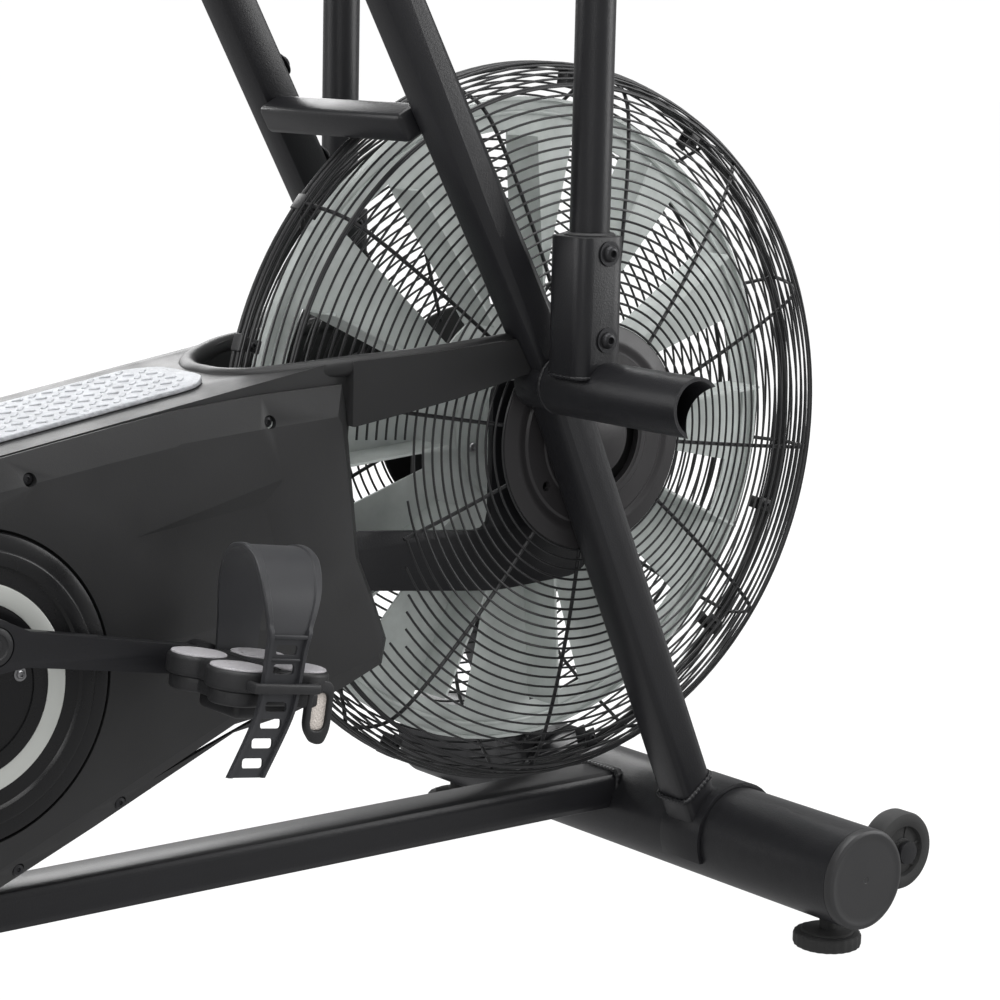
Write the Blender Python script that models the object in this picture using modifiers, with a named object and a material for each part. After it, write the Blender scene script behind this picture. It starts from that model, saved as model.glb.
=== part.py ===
"""Air-resistance exercise bike: metres, +Z up, +X the way the rider faces, floor at z = 0."""
import math

import bmesh
import bpy
from mathutils import Matrix, Vector

# ---- driving dimensions ----
GAP = 0.0004
ORIGIN_SHIFT = 0.3205

FRONT_TUBE_X = 0.132
FRONT_TUBE_Z = 0.067
FRONT_TUBE_R = 0.043
FRONT_TUBE_HALF = 0.292
REAR_TUBE_X = -0.915
REAR_TUBE_Z = 0.060
REAR_TUBE_R = 0.036
REAR_TUBE_HALF = 0.250
CAP_THICK = 0.008
TUBE_WALL = 0.003

BEAM_TOP = 0.102
BEAM_BOTTOM = 0.068
BEAM_WIDTH = 0.046
BEAM_WALL = 0.003

FAN_Z = 0.4226
CAGE_R = 0.310
CAGE_WALL = 0.002
FAN_R = 0.279
WEB_Y = 0.012
BLADE_COUNT = 12
BLADE_PHASE_DEG = 4.5
BLADE_DEPTH = 0.043
WINDOW_DEG = 13.5
WINDOW_IN_R = 0.105
WINDOW_OUT_R = 0.252

FORK_Y = 0.116
LEG_SIZE = 0.036
UPRIGHT_SIZE = 0.034
FORK_KNEE = (-0.068, 0.478)
LEG_FOOT = (0.105, 0.085)
UPRIGHT_SLOPE = -0.55
UPRIGHT_TOP_Z = 0.985
CROSSBAR = (-0.199, 0.684)
CROSSBAR_SIZE = 0.025
MAST_Z = 0.955

PIVOT_X = -0.075
PIVOT_Z = 0.476
STUB_R = 0.010
SLEEVE_R = 0.024
SLEEVE_START = 0.1375
SLEEVE_END = 0.297
LEVER_Y = 0.171
LEVER_X = -0.080
LEVER_R = 0.016
SOCKET_SIZE = 0.045
SOCKET_X = -0.0825
SOCKET_TOP = 0.599

CRANK_X = -0.585
CRANK_Z = 0.322
CRANK_LENGTH = 0.176
CRANK_ANGLE_DEG = -10.3
ARM_IN = 0.120
ARM_OUT = 0.136
AXLE_R = 0.010
DRIVE_R = 0.085
DRIVE_Y = 0.035
JACK_X = -0.400
JACK_Z = 0.322
JACK_SMALL_R = 0.022
JACK_LARGE_R = 0.050
FAN_BELT_Y = 0.0655
FAN_PULLEY_R = 0.026

COVER_IN = 0.086
COVER_OUT = 0.098
DISC_X = -0.589
DISC_Z = 0.283
DISC_R = 0.119

SHELL_SLOPE = 0.175
SHELL_REF = (-0.66, 0.430)

SEAT_BASE_X = -0.660
SEAT_LEAN_DEG = 10.0
SEAT_TUBE_TOP_S = 0.520
POST_START_S = 0.300
POST_TOP_S = 0.760

CONSOLE_PIVOT = (-0.352, 1.020)
CONSOLE_TILT_DEG = 38.0

COLOURS = {
    "frame_black": (0.020, 0.020, 0.022, 0.45, 0.0),
    "plastic_black": (0.030, 0.030, 0.033, 0.50, 0.0),
    "fan_grey": (0.230, 0.250, 0.240, 0.40, 0.0),
    "wire_black": (0.018, 0.018, 0.019, 0.40, 0.0),
    "rubber": (0.025, 0.025, 0.026, 0.80, 0.0),
    "steel": (0.450, 0.450, 0.460, 0.35, 1.0),
    "tread_grey": (0.450, 0.460, 0.470, 0.60, 0.0),
    "foam": (0.022, 0.022, 0.022, 0.90, 0.0),
    "saddle_skin": (0.020, 0.020, 0.020, 0.60, 0.0),
    "display": (0.100, 0.120, 0.110, 0.15, 0.0),
    "button_grey": (0.350, 0.350, 0.360, 0.50, 0.0),
}


# ---- scene helpers ----
def clear_scene():
    for obj in list(bpy.data.objects):
        bpy.data.objects.remove(obj)


def new_collection(name):
    collection = bpy.data.collections.new(name)
    bpy.context.scene.collection.children.link(collection)
    return collection


clear_scene()
PARTS = new_collection("air_bike")
CUTTERS = new_collection("cutters")


def material(node, slot):
    red, green, blue, rough, metal = COLOURS[slot]
    mat = bpy.data.materials.new(node + "_" + slot)
    mat.use_nodes = True
    shader = mat.node_tree.nodes["Principled BSDF"]
    shader.inputs["Base Color"].default_value = (red, green, blue, 1.0)
    shader.inputs["Roughness"].default_value = rough
    shader.inputs["Metallic"].default_value = metal
    return mat


def move_to(obj, collection):
    for old in list(obj.users_collection):
        old.objects.unlink(obj)
    collection.objects.link(obj)


def part(obj, name, slot, smooth=False):
    obj.name = name
    obj.data.name = name
    obj.data.materials.clear()
    obj.data.materials.append(material(name, slot))
    move_to(obj, PARTS)
    if smooth and obj.type == "MESH":
        for poly in obj.data.polygons:
            poly.use_smooth = True
    return obj


def tool(obj, name):
    obj.name = "cut_" + name
    obj.hide_render = True
    obj.display_type = "WIRE"
    move_to(obj, CUTTERS)
    return obj


def combine(obj, other, operation):
    tool(other, obj.name + "_" + str(len(obj.modifiers)))
    mod = obj.modifiers.new(operation.lower(), "BOOLEAN")
    mod.operation = operation
    mod.solver = "EXACT"
    mod.object = other
    return obj


def join(obj, *others):
    for other in others:
        combine(obj, other, "UNION")
    return obj


def cut(obj, *others):
    for other in others:
        combine(obj, other, "DIFFERENCE")
    return obj


def pivot(name, position, *children):
    empty = bpy.data.objects.new(name, None)
    empty.location = position
    PARTS.objects.link(empty)
    bpy.context.view_layer.update()
    for child in children:
        child.parent = empty
        child.matrix_parent_inverse = empty.matrix_world.inverted()
    return empty


# ---- shape helpers ----
def block(size, centre, tilt_deg=0.0, bevel=0.0, segments=2):
    """A box, optionally leaning about Y and with rounded edges."""
    bpy.ops.mesh.primitive_cube_add(size=1.0)
    obj = bpy.context.object
    obj.data.transform(Matrix.Diagonal((size[0], size[1], size[2], 1.0)))
    obj.location = centre
    obj.rotation_euler = (0.0, math.radians(tilt_deg), 0.0)
    if bevel > 0.0:
        mod = obj.modifiers.new("rounding", "BEVEL")
        mod.width = bevel
        mod.segments = segments
        mod.limit_method = "ANGLE"
    return obj


def bar(start, end, size_a, size_b, y, bevel=0.006):
    """A square tube in a fore-and-aft plane from (x, z) to (x, z)."""
    dx = end[0] - start[0]
    dz = end[1] - start[1]
    length = math.hypot(dx, dz)
    centre = ((start[0] + end[0]) / 2, y, (start[1] + end[1]) / 2)
    lean = math.degrees(math.atan2(dx, dz))
    return block((size_a, size_b, length), centre, lean, bevel)


def rod(start, end, radius, sides=24):
    """A round bar between two points."""
    start = Vector(start)
    end = Vector(end)
    axis = end - start
    bpy.ops.mesh.primitive_cylinder_add(vertices=sides, radius=radius, depth=axis.length)
    obj = bpy.context.object
    obj.data.transform(axis.to_track_quat("Z", "Y").to_matrix().to_4x4())
    obj.location = (start + end) / 2
    return obj


def turned(profile, centre, turn=(0.0, 0.0, 0.0), steps=32):
    """A closed (radius, height) profile turned about the local Z axis."""
    mesh = bpy.data.meshes.new("profile")
    edges = [(i, (i + 1) % len(profile)) for i in range(len(profile))]
    on_axis = [i for i, (radius, _) in enumerate(profile) if radius < 1e-9]
    if len(on_axis) == 2:
        edges = [e for e in edges if not (e[0] in on_axis and e[1] in on_axis)]
    mesh.from_pydata([(r, 0.0, h) for r, h in profile], edges, [])
    obj = bpy.data.objects.new("turned", mesh)
    bpy.context.scene.collection.objects.link(obj)
    obj.location = centre
    obj.rotation_euler = turn
    mod = obj.modifiers.new("turn", "SCREW")
    mod.axis = "Z"
    mod.steps = steps
    mod.render_steps = steps
    mod.use_merge_vertices = True
    mod.merge_threshold = 0.00001
    mod.use_smooth_shade = True
    return obj


def outline(rings, depth, y=0.0, bevel=0.0, turn=(math.pi / 2, 0.0, 0.0), centre=None):
    """Flat closed rings of (x, z) points given a thickness along Y; inner rings are holes."""
    curve = bpy.data.curves.new("outline", "CURVE")
    curve.dimensions = "2D"
    curve.fill_mode = "BOTH"
    curve.extrude = depth / 2 - bevel
    curve.bevel_depth = bevel
    curve.bevel_resolution = 0
    curve.offset = -bevel
    for ring in rings:
        spline = curve.splines.new("POLY")
        spline.points.add(len(ring) - 1)
        for point, (x, z) in zip(spline.points, ring):
            point.co = (x, z, 0.0, 1.0)
        spline.use_cyclic_u = True
    obj = bpy.data.objects.new("outline", curve)
    bpy.context.scene.collection.objects.link(obj)
    obj.rotation_euler = turn
    obj.location = centre if centre else (0.0, y, 0.0)
    return obj


def solid(curve_obj):
    """A curve object's surface as a mesh object, welded, so that it can take a Boolean."""
    bpy.context.view_layer.update()
    graph = bpy.context.evaluated_depsgraph_get()
    mesh = bpy.data.meshes.new_from_object(curve_obj.evaluated_get(graph))
    obj = bpy.data.objects.new("solid", mesh)
    obj.matrix_world = curve_obj.matrix_world.copy()
    bpy.context.scene.collection.objects.link(obj)
    bpy.data.objects.remove(curve_obj)
    weld(mesh)
    return obj


def weld(mesh):
    work = bmesh.new()
    work.from_mesh(mesh)
    bmesh.ops.remove_doubles(work, verts=work.verts, dist=0.00002)
    bmesh.ops.recalc_face_normals(work, faces=work.faces)
    work.to_mesh(mesh)
    work.free()


def tube(points, radius):
    """A round tube along a smooth path, closed at both ends."""
    curve = bpy.data.curves.new("tube", "CURVE")
    curve.dimensions = "3D"
    curve.bevel_depth = radius
    curve.bevel_resolution = 2
    curve.use_fill_caps = True
    spline = curve.splines.new("POLY")
    spline.points.add(len(points) - 1)
    for point, co in zip(spline.points, points):
        point.co = (co[0], co[1], co[2], 1.0)
    obj = bpy.data.objects.new("tube", curve)
    bpy.context.scene.collection.objects.link(obj)
    return solid(obj)


def ribbon(path, width, thickness, plane):
    """A bent strip: the path lies in a plane, the width runs across it."""
    mesh = bpy.data.meshes.new("ribbon")
    verts = []
    for a, b in path:
        for side in (-0.5, 0.5):
            verts.append(plane(a, b, side * width))
    faces = [(2 * i, 2 * i + 1, 2 * i + 3, 2 * i + 2) for i in range(len(path) - 1)]
    mesh.from_pydata(verts, [], faces)
    obj = bpy.data.objects.new("ribbon", mesh)
    bpy.context.scene.collection.objects.link(obj)
    mod = obj.modifiers.new("thickness", "SOLIDIFY")
    mod.thickness = thickness
    mod.offset = 0.0
    mod.use_even_offset = True
    return obj


def circle(x, z, radius, count=24, start=0.0, sweep=360.0):
    steps = count if sweep >= 360.0 else count + 1
    points = []
    for i in range(steps):
        angle = math.radians(start + sweep * i / count)
        points.append((x + radius * math.cos(angle), z + radius * math.sin(angle)))
    return points


def rounded(points, radius, count=4):
    """A polygon with each corner rounded."""
    out = []
    total = len(points)
    for i in range(total):
        here = Vector(points[i])
        back = (Vector(points[i - 1]) - here)
        ahead = (Vector(points[(i + 1) % total]) - here)
        reach = min(radius, back.length * 0.45, ahead.length * 0.45)
        first = here + back.normalized() * reach
        last = here + ahead.normalized() * reach
        for k in range(count + 1):
            t = k / count
            spot = first * (1 - t) ** 2 + here * 2 * t * (1 - t) + last * t ** 2
            out.append((spot.x, spot.y))
    return out


def bend(points, radius, count=5):
    """An open path with its inner corners rounded."""
    points = [Vector(p) for p in points]
    out = [points[0]]
    for i in range(1, len(points) - 1):
        here = points[i]
        back = points[i - 1] - here
        ahead = points[i + 1] - here
        reach = min(radius, back.length * 0.48, ahead.length * 0.48)
        first = here + back.normalized() * reach
        last = here + ahead.normalized() * reach
        for k in range(count + 1):
            t = k / count
            out.append(first * (1 - t) ** 2 + here * 2 * t * (1 - t) + last * t ** 2)
    out.append(points[-1])
    return out


def hull_of_circles(x0, z0, r0, x1, z1, r1, count=12):
    """The outline of a belt laid round two circles."""
    angle = math.atan2(z1 - z0, x1 - x0)
    span = math.hypot(x1 - x0, z1 - z0)
    open_angle = math.acos((r0 - r1) / span)
    points = []
    for i in range(count + 1):
        a = angle + open_angle + (2 * math.pi - 2 * open_angle) * i / count
        points.append((x0 + r0 * math.cos(a), z0 + r0 * math.sin(a)))
    for i in range(count + 1):
        a = angle - open_angle + 2 * open_angle * i / count
        points.append((x1 + r1 * math.cos(a), z1 + r1 * math.sin(a)))
    return points


TURN_OUT = {-1: (math.pi / 2, 0.0, 0.0), 1: (-math.pi / 2, 0.0, 0.0)}
SIDES = {-1: "right", 1: "left"}


def upright_x(z):
    return FORK_KNEE[0] + UPRIGHT_SLOPE * (z - FORK_KNEE[1])


def shell_top(x):
    return SHELL_REF[1] + SHELL_SLOPE * (x - SHELL_REF[0])


def seat_axis(s, forward=0.0):
    """A point on the seat tube's axis, s metres up from the beam."""
    lean = math.radians(SEAT_LEAN_DEG)
    x = SEAT_BASE_X - s * math.sin(lean) + forward * math.cos(lean)
    z = BEAM_TOP + s * math.cos(lean) + forward * math.sin(lean)
    return (x, z)


# ---- base frame ----
def build_base():
    beam = block(
        (FRONT_TUBE_X - REAR_TUBE_X, BEAM_WIDTH, BEAM_TOP - BEAM_BOTTOM),
        ((FRONT_TUBE_X + REAR_TUBE_X) / 2, 0.0, (BEAM_TOP + BEAM_BOTTOM) / 2),
        0.0,
        0.007,
    )
    part(beam, "main_beam", "frame_black")
    inside = (1.20, BEAM_WIDTH - 2 * BEAM_WALL, BEAM_TOP - BEAM_BOTTOM - 2 * BEAM_WALL)
    middle = ((FRONT_TUBE_X + REAR_TUBE_X) / 2, 0.0, (BEAM_TOP + BEAM_BOTTOM) / 2)
    cut(beam, block(inside, middle))
    for x, z, radius in (
        (FRONT_TUBE_X, FRONT_TUBE_Z, FRONT_TUBE_R),
        (REAR_TUBE_X, REAR_TUBE_Z, REAR_TUBE_R),
    ):
        cut(beam, rod((x, -0.08, z), (x, 0.08, z), radius + GAP, 40))
    front = rod(
        (FRONT_TUBE_X, -FRONT_TUBE_HALF, FRONT_TUBE_Z),
        (FRONT_TUBE_X, FRONT_TUBE_HALF, FRONT_TUBE_Z),
        FRONT_TUBE_R,
        40,
    )
    part(front, "front_stabiliser", "frame_black", True)
    bore_tube(front, FRONT_TUBE_X, FRONT_TUBE_HALF, FRONT_TUBE_Z, FRONT_TUBE_R)
    rear = rod(
        (REAR_TUBE_X, -REAR_TUBE_HALF, REAR_TUBE_Z),
        (REAR_TUBE_X, REAR_TUBE_HALF, REAR_TUBE_Z),
        REAR_TUBE_R,
        36,
    )
    part(rear, "rear_stabiliser", "frame_black", True)
    bore_tube(rear, REAR_TUBE_X, REAR_TUBE_HALF, REAR_TUBE_Z, REAR_TUBE_R)
    for s in (-1, 1):
        build_cap("front_cap_", s, FRONT_TUBE_X, FRONT_TUBE_HALF, FRONT_TUBE_Z, FRONT_TUBE_R)
        build_cap("rear_cap_", s, REAR_TUBE_X, REAR_TUBE_HALF, REAR_TUBE_Z, REAR_TUBE_R)
        build_foot("foot_front_", s, FRONT_TUBE_X, FRONT_TUBE_HALF - 0.035)
        build_foot("foot_rear_", s, REAR_TUBE_X, REAR_TUBE_HALF - 0.030)
        build_wheel(s)


def bore_tube(obj, x, half, z, radius):
    """Opens a stabiliser tube from end to end."""
    reach = half + 0.020
    cut(obj, rod((x, -reach, z), (x, reach, z), radius - TUBE_WALL, 40))


def build_cap(prefix, s, x, half, z, radius):
    low = GAP
    high = CAP_THICK
    profile = [
        (0.0, high),
        (radius - 0.003, high),
        (radius, high - 0.003),
        (radius, low),
        (0.0, low),
    ]
    cap = turned(profile, (x, s * half, z), TURN_OUT[s], 32)
    part(cap, prefix + SIDES[s], "plastic_black")


def build_foot(prefix, s, x, y):
    profile = [
        (0.0, 0.0235),
        (0.0070, 0.0235),
        (0.0070, 0.0130),
        (0.0230, 0.0120),
        (0.0285, 0.0090),
        (0.0285, 0.0015),
        (0.0270, 0.0),
        (0.0, 0.0),
    ]
    foot = turned(profile, (x, s * y, 0.0), (0.0, 0.0, 0.0), 20)
    part(foot, prefix + SIDES[s], "rubber")
    pivot("pivot_" + prefix + SIDES[s], (x, s * y, 0.0), foot)


WHEEL_X = 0.211
WHEEL_Y = 0.257
WHEEL_Z = 0.070
WHEEL_R = 0.034


def build_wheel(s):
    half = 0.011
    profile = [
        (0.0073, half - 0.002),
        (0.0220, half - 0.002),
        (0.0250, half),
        (0.0310, half),
        (WHEEL_R, half - 0.004),
        (WHEEL_R, 0.004 - half),
        (0.0310, -half),
        (0.0250, -half),
        (0.0220, 0.002 - half),
        (0.0073, 0.002 - half),
    ]
    wheel = turned(profile, (WHEEL_X, s * WHEEL_Y, WHEEL_Z), TURN_OUT[s], 24)
    part(wheel, "transport_wheel_" + SIDES[s], "rubber")
    pivot("pivot_wheel_" + SIDES[s], (WHEEL_X, s * WHEEL_Y, WHEEL_Z), wheel)
    ear = hull_of_circles(FRONT_TUBE_X + 0.030, FRONT_TUBE_Z, 0.024, WHEEL_X, WHEEL_Z, 0.013)
    y_plate = s * (WHEEL_Y - half - 0.0035)
    plate = solid(outline([ear], 0.005, y_plate))
    part(plate, "wheel_bracket_" + SIDES[s], "frame_black")
    tip = s * (WHEEL_Y + half + 0.005)
    head = s * (WHEEL_Y + half + 0.0012)
    join(
        plate,
        rod((WHEEL_X, y_plate, WHEEL_Z), (WHEEL_X, tip, WHEEL_Z), 0.0068, 20),
        rod((WHEEL_X, head, WHEEL_Z), (WHEEL_X, tip, WHEEL_Z), 0.0100, 20),
    )
    low = (FRONT_TUBE_X, s * 0.20, FRONT_TUBE_Z)
    high = (FRONT_TUBE_X, s * 0.31, FRONT_TUBE_Z)
    cut(plate, rod(low, high, FRONT_TUBE_R + GAP, 40))


# ---- fork: legs, uprights and the bars between them ----
def build_fork(s):
    y = s * FORK_Y
    leg = bar(LEG_FOOT, FORK_KNEE, LEG_SIZE, LEG_SIZE, y)
    part(leg, "fork_" + SIDES[s], "frame_black")
    top = (upright_x(UPRIGHT_TOP_Z), UPRIGHT_TOP_Z)
    upright = bar(FORK_KNEE, top, UPRIGHT_SIZE, UPRIGHT_SIZE, y)
    shoe_y = s * 0.119
    shoe = rod(
        (FRONT_TUBE_X, shoe_y - 0.024, FRONT_TUBE_Z),
        (FRONT_TUBE_X, shoe_y + 0.024, FRONT_TUBE_Z),
        FRONT_TUBE_R + 0.0042,
        40,
    )
    knuckle = rod((PIVOT_X, s * 0.101, PIVOT_Z), (PIVOT_X, s * 0.136, PIVOT_Z), 0.0215, 28)
    stub = rod((PIVOT_X, s * 0.120, PIVOT_Z), (PIVOT_X, s * 0.195, PIVOT_Z), STUB_R, 24)
    join(leg, upright, shoe, knuckle, stub)
    bore = rod(
        (FRONT_TUBE_X, -0.20, FRONT_TUBE_Z),
        (FRONT_TUBE_X, 0.20, FRONT_TUBE_Z),
        FRONT_TUBE_R + GAP,
        40,
    )
    under = block((0.14, 0.40, 0.060), (FRONT_TUBE_X, 0.0, 0.018))
    cut(leg, bore, under)


def build_bars():
    lean = math.degrees(math.atan(UPRIGHT_SLOPE))
    half = FORK_Y - UPRIGHT_SIZE / 2 - GAP
    bar_low = block(
        (CROSSBAR_SIZE, 2 * half, CROSSBAR_SIZE),
        (CROSSBAR[0], 0.0, CROSSBAR[1]),
        lean,
        0.005,
    )
    part(bar_low, "crossbar", "frame_black")
    x = upright_x(MAST_Z)
    mast = rod((x, -half, MAST_Z), (x, half, MAST_Z), 0.0150, 24)
    part(mast, "console_mast", "frame_black", True)
    neck = block((0.008, 0.060, 0.085), (x - 0.008, 0.0, MAST_Z + 0.030), lean, 0.002)
    lugs = rod((CONSOLE_PIVOT[0], -0.030, CONSOLE_PIVOT[1]), (CONSOLE_PIVOT[0], 0.030, CONSOLE_PIVOT[1]), 0.009)
    join(mast, neck, lugs)


# ---- cage and fan ----
CAGE_OUTER = {
    -1: [
        (0.3100, 0.0010),
        (0.3100, 0.0160),
        (0.2930, 0.0540),
        (0.2500, 0.0715),
        (0.1700, 0.0845),
        (0.0900, 0.0900),
        (0.0870, 0.0935),
        (0.0, 0.0935),
    ],
    1: [
        (0.3100, 0.0010),
        (0.3000, 0.0120),
        (0.2700, 0.0460),
        (0.2400, 0.0660),
        (0.1700, 0.0830),
        (0.0900, 0.0900),
        (0.0870, 0.0935),
        (0.0, 0.0935),
    ],
}


def cage_profile(s, wall):
    """The right half has a rounded rim, the left half is a plain cone."""
    outer = CAGE_OUTER[s]
    inner = [(CAGE_R - 1.4 * wall, 0.0010)]
    for r, h in outer[1:]:
        if r > 0.30:
            inner.append((r - wall, h))
        elif r > 0.22:
            inner.append((r - 0.75 * wall, h - 0.85 * wall))
        else:
            inner.append((r, h - wall))
    return list(reversed(outer)) + inner


def build_cage(s):
    profile = cage_profile(s, CAGE_WALL)
    cage = turned(profile, (0.0, 0.0, FAN_Z), TURN_OUT[s], 44)
    part(cage, "cage_" + SIDES[s], "wire_black")
    notch = block((0.190, 0.30, 0.158), (-0.284, 0.0, 0.351))
    cut(cage, notch)


def fan_window(start_deg):
    """The opening that one blade leaves in the fan's web."""
    outer = circle(0.0, FAN_Z, WINDOW_OUT_R, 4, start_deg, WINDOW_DEG)
    inner = circle(0.0, FAN_Z, WINDOW_IN_R, 2, start_deg, WINDOW_DEG)
    return outer[:5] + list(reversed(inner[:3]))


def build_rotor():
    """A flat web whose blades are folded out along one edge of each window."""
    starts = [BLADE_PHASE_DEG + 360.0 * i / BLADE_COUNT for i in range(BLADE_COUNT)]
    rings = [circle(0.0, FAN_Z, FAN_R, 60)] + [fan_window(start) for start in starts]
    web = solid(outline(rings, 0.0022, WEB_Y))
    part(web, "fan_rotor", "fan_grey")
    members = []
    reach = WINDOW_OUT_R - WINDOW_IN_R - 0.008
    mid = (WINDOW_OUT_R + WINDOW_IN_R) / 2
    for start in starts:
        turn = math.radians(start)
        centre = (mid * math.cos(turn), WEB_Y - BLADE_DEPTH / 2, FAN_Z + mid * math.sin(turn))
        members.append(block((reach, BLADE_DEPTH, 0.0022), centre, -start))
    edge = FAN_R - 0.0022
    lip = turned(
        [(edge, 0.006), (FAN_R + 0.0004, 0.006), (FAN_R + 0.0004, -0.006), (edge, -0.006)],
        (0.0, WEB_Y, FAN_Z),
        TURN_OUT[1],
        60,
    )
    hub = rod((0.0, -0.036, FAN_Z), (0.0, 0.036, FAN_Z), 0.040, 30)
    shaft = rod((0.0, -0.072, FAN_Z), (0.0, 0.084, FAN_Z), 0.008, 20)
    pulley = rod((0.0, FAN_BELT_Y - 0.005, FAN_Z), (0.0, FAN_BELT_Y + 0.005, FAN_Z), FAN_PULLEY_R, 28)
    join(web, lip, hub, shaft, pulley, *members)
    pivot("pivot_fan", (0.0, 0.0, FAN_Z), web)


def build_axle_bracket(s):
    plate = [
        (-0.3515, 0.322),
        (-0.205, 0.307),
        (-0.075, 0.293),
        (0.020, 0.298),
        (0.035, 0.330),
        (0.035, 0.470),
        (-0.082, 0.470),
        (-0.082, 0.345),
        (-0.205, 0.356),
        (-0.3515, 0.372),
    ]
    rings = [rounded(plate, 0.016, 3), circle(0.0, FAN_Z, 0.0085, 20)]
    bracket = outline(rings, 0.006, s * 0.0535)
    part(solid(bracket), "axle_bracket_" + SIDES[s], "frame_black")


# ---- inner frame and drive ----
def build_centre_frame():
    shell = rod((CRANK_X, -0.026, CRANK_Z), (CRANK_X, 0.026, CRANK_Z), 0.022, 28)
    part(shell, "centre_frame", "frame_black")
    post_top = CRANK_Z - 0.010
    post = block(
        (0.032, 0.032, post_top - BEAM_TOP - GAP),
        (CRANK_X, 0.0, (post_top + BEAM_TOP + GAP) / 2),
    )
    stay_x0 = CRANK_X + 0.012
    stay_x1 = -0.340
    stay = block(
        (stay_x1 - stay_x0, 0.030, 0.028), ((stay_x0 + stay_x1) / 2, 0.0, CRANK_Z)
    )
    cross = block((0.018, 0.0995, 0.050), (-0.3425, 0.0, 0.347))
    pin = rod((JACK_X, 0.010, JACK_Z), (JACK_X, 0.080, JACK_Z), 0.0060, 20)
    join(shell, post, stay, cross, pin)
    cut(shell, rod((CRANK_X, -0.05, CRANK_Z), (CRANK_X, 0.05, CRANK_Z), AXLE_R + GAP, 24))


def build_drive():
    axle = rod((CRANK_X, -0.1330, CRANK_Z), (CRANK_X, 0.1330, CRANK_Z), AXLE_R, 24)
    part(axle, "crank_axle", "steel", True)
    wheel = rod((CRANK_X, DRIVE_Y - 0.006, CRANK_Z), (CRANK_X, DRIVE_Y + 0.006, CRANK_Z), DRIVE_R, 48)
    join(axle, wheel)
    pivot("pivot_crank", (CRANK_X, 0.0, CRANK_Z), axle)
    profile = [
        (0.0064, 0.071),
        (JACK_LARGE_R, 0.071),
        (JACK_LARGE_R, 0.060),
        (0.0140, 0.060),
        (0.0140, 0.041),
        (JACK_SMALL_R, 0.041),
        (JACK_SMALL_R, 0.029),
        (0.0064, 0.029),
    ]
    jack = turned(profile, (JACK_X, 0.0, JACK_Z), TURN_OUT[1], 28)
    part(jack, "jack_pulley", "steel")
    pivot("pivot_jack", (JACK_X, 0.0, JACK_Z), jack)
    build_belt("drive_belt", DRIVE_Y, 0.009, (CRANK_X, CRANK_Z, DRIVE_R), (JACK_X, JACK_Z, JACK_SMALL_R))
    build_belt("fan_belt", FAN_BELT_Y, 0.006, (JACK_X, JACK_Z, JACK_LARGE_R), (0.0, FAN_Z, FAN_PULLEY_R))


def build_belt(name, y, width, first, second):
    rings = []
    for extra in (0.0030, 0.0006):
        rings.append(
            hull_of_circles(
                first[0], first[1], first[2] + extra, second[0], second[1], second[2] + extra, 20
            )
        )
    belt = outline(rings, width, y)
    part(solid(belt), name, "rubber")


def build_crank_arm(s):
    angle = math.radians(CRANK_ANGLE_DEG if s < 0 else CRANK_ANGLE_DEG + 180.0)
    end_x = CRANK_X + CRANK_LENGTH * math.cos(angle)
    end_z = CRANK_Z + CRANK_LENGTH * math.sin(angle)
    mid_y = s * (ARM_IN + ARM_OUT) / 2
    neck_x = CRANK_X + 0.030 * math.cos(angle)
    neck_z = CRANK_Z + 0.030 * math.sin(angle)
    hub = circle(CRANK_X, CRANK_Z, 0.0200, 28)
    arm = solid(outline([hub], ARM_OUT - ARM_IN, mid_y))
    part(arm, "crank_arm_" + SIDES[s], "frame_black")
    body = hull_of_circles(CRANK_X, CRANK_Z, 0.0130, end_x, end_z, 0.0105)
    fillet = hull_of_circles(CRANK_X, CRANK_Z, 0.0198, neck_x, neck_z, 0.0115)
    eye = circle(end_x, end_z, 0.0140, 24)
    for ring in (body, fillet, eye):
        join(arm, solid(outline([ring], ARM_OUT - ARM_IN, mid_y)))
    join(arm, rod((end_x, s * 0.130, end_z), (end_x, s * 0.232, end_z), 0.0060, 18))
    cut(
        arm,
        rod((CRANK_X, s * 0.10, CRANK_Z), (CRANK_X, s * 0.20, CRANK_Z), AXLE_R + GAP, 24),
        rod((CRANK_X, s * 0.1335, CRANK_Z), (CRANK_X, s * 0.20, CRANK_Z), 0.0150, 24),
    )
    pivot("pivot_arm_" + SIDES[s], (CRANK_X, 0.0, CRANK_Z), arm)
    return end_x, end_z


PEDAL_IN = 0.142
PEDAL_OUT = 0.240
PEDAL_TILT_DEG = 8.0


def build_pedal(s, x, z):
    mid = s * (PEDAL_IN + PEDAL_OUT) / 2
    body = block((0.094, PEDAL_OUT - PEDAL_IN, 0.024), (x, mid, z), PEDAL_TILT_DEG, 0.009, 3)
    part(body, "pedal_" + SIDES[s], "plastic_black")
    lean = math.radians(PEDAL_TILT_DEG)
    low_x = x - 0.018 * math.sin(lean)
    low_z = z - 0.018 * math.cos(lean)
    weight = block((0.040, 0.050, 0.020), (low_x, mid, low_z), PEDAL_TILT_DEG, 0.005)
    join(body, weight)
    cut(body, rod((x, s * 0.12, z), (x, s * 0.2335, z), 0.0064, 20))
    side = (PEDAL_OUT - PEDAL_IN) / 2 + 0.0030
    path = [
        (-side, 0.010),
        (-side, 0.034),
        (-side * 0.86, 0.068),
        (-side * 0.50, 0.090),
        (0.0, 0.096),
        (side * 0.50, 0.090),
        (side * 0.86, 0.068),
        (side, 0.030),
        (side, -0.020),
        (side + 0.004, -0.062),
    ]
    strap = ribbon(path, 0.042, 0.0030, lambda a, b, w: (w + 0.5 * min(0.0, b + 0.010), s * a, b))
    part(strap, "pedal_strap_" + SIDES[s], "rubber")
    strap.location = (x, mid, z)
    strap.rotation_euler = (0.0, math.radians(PEDAL_TILT_DEG), 0.0)
    pivot("pivot_pedal_" + SIDES[s], (x, mid, z), body, strap)


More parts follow.
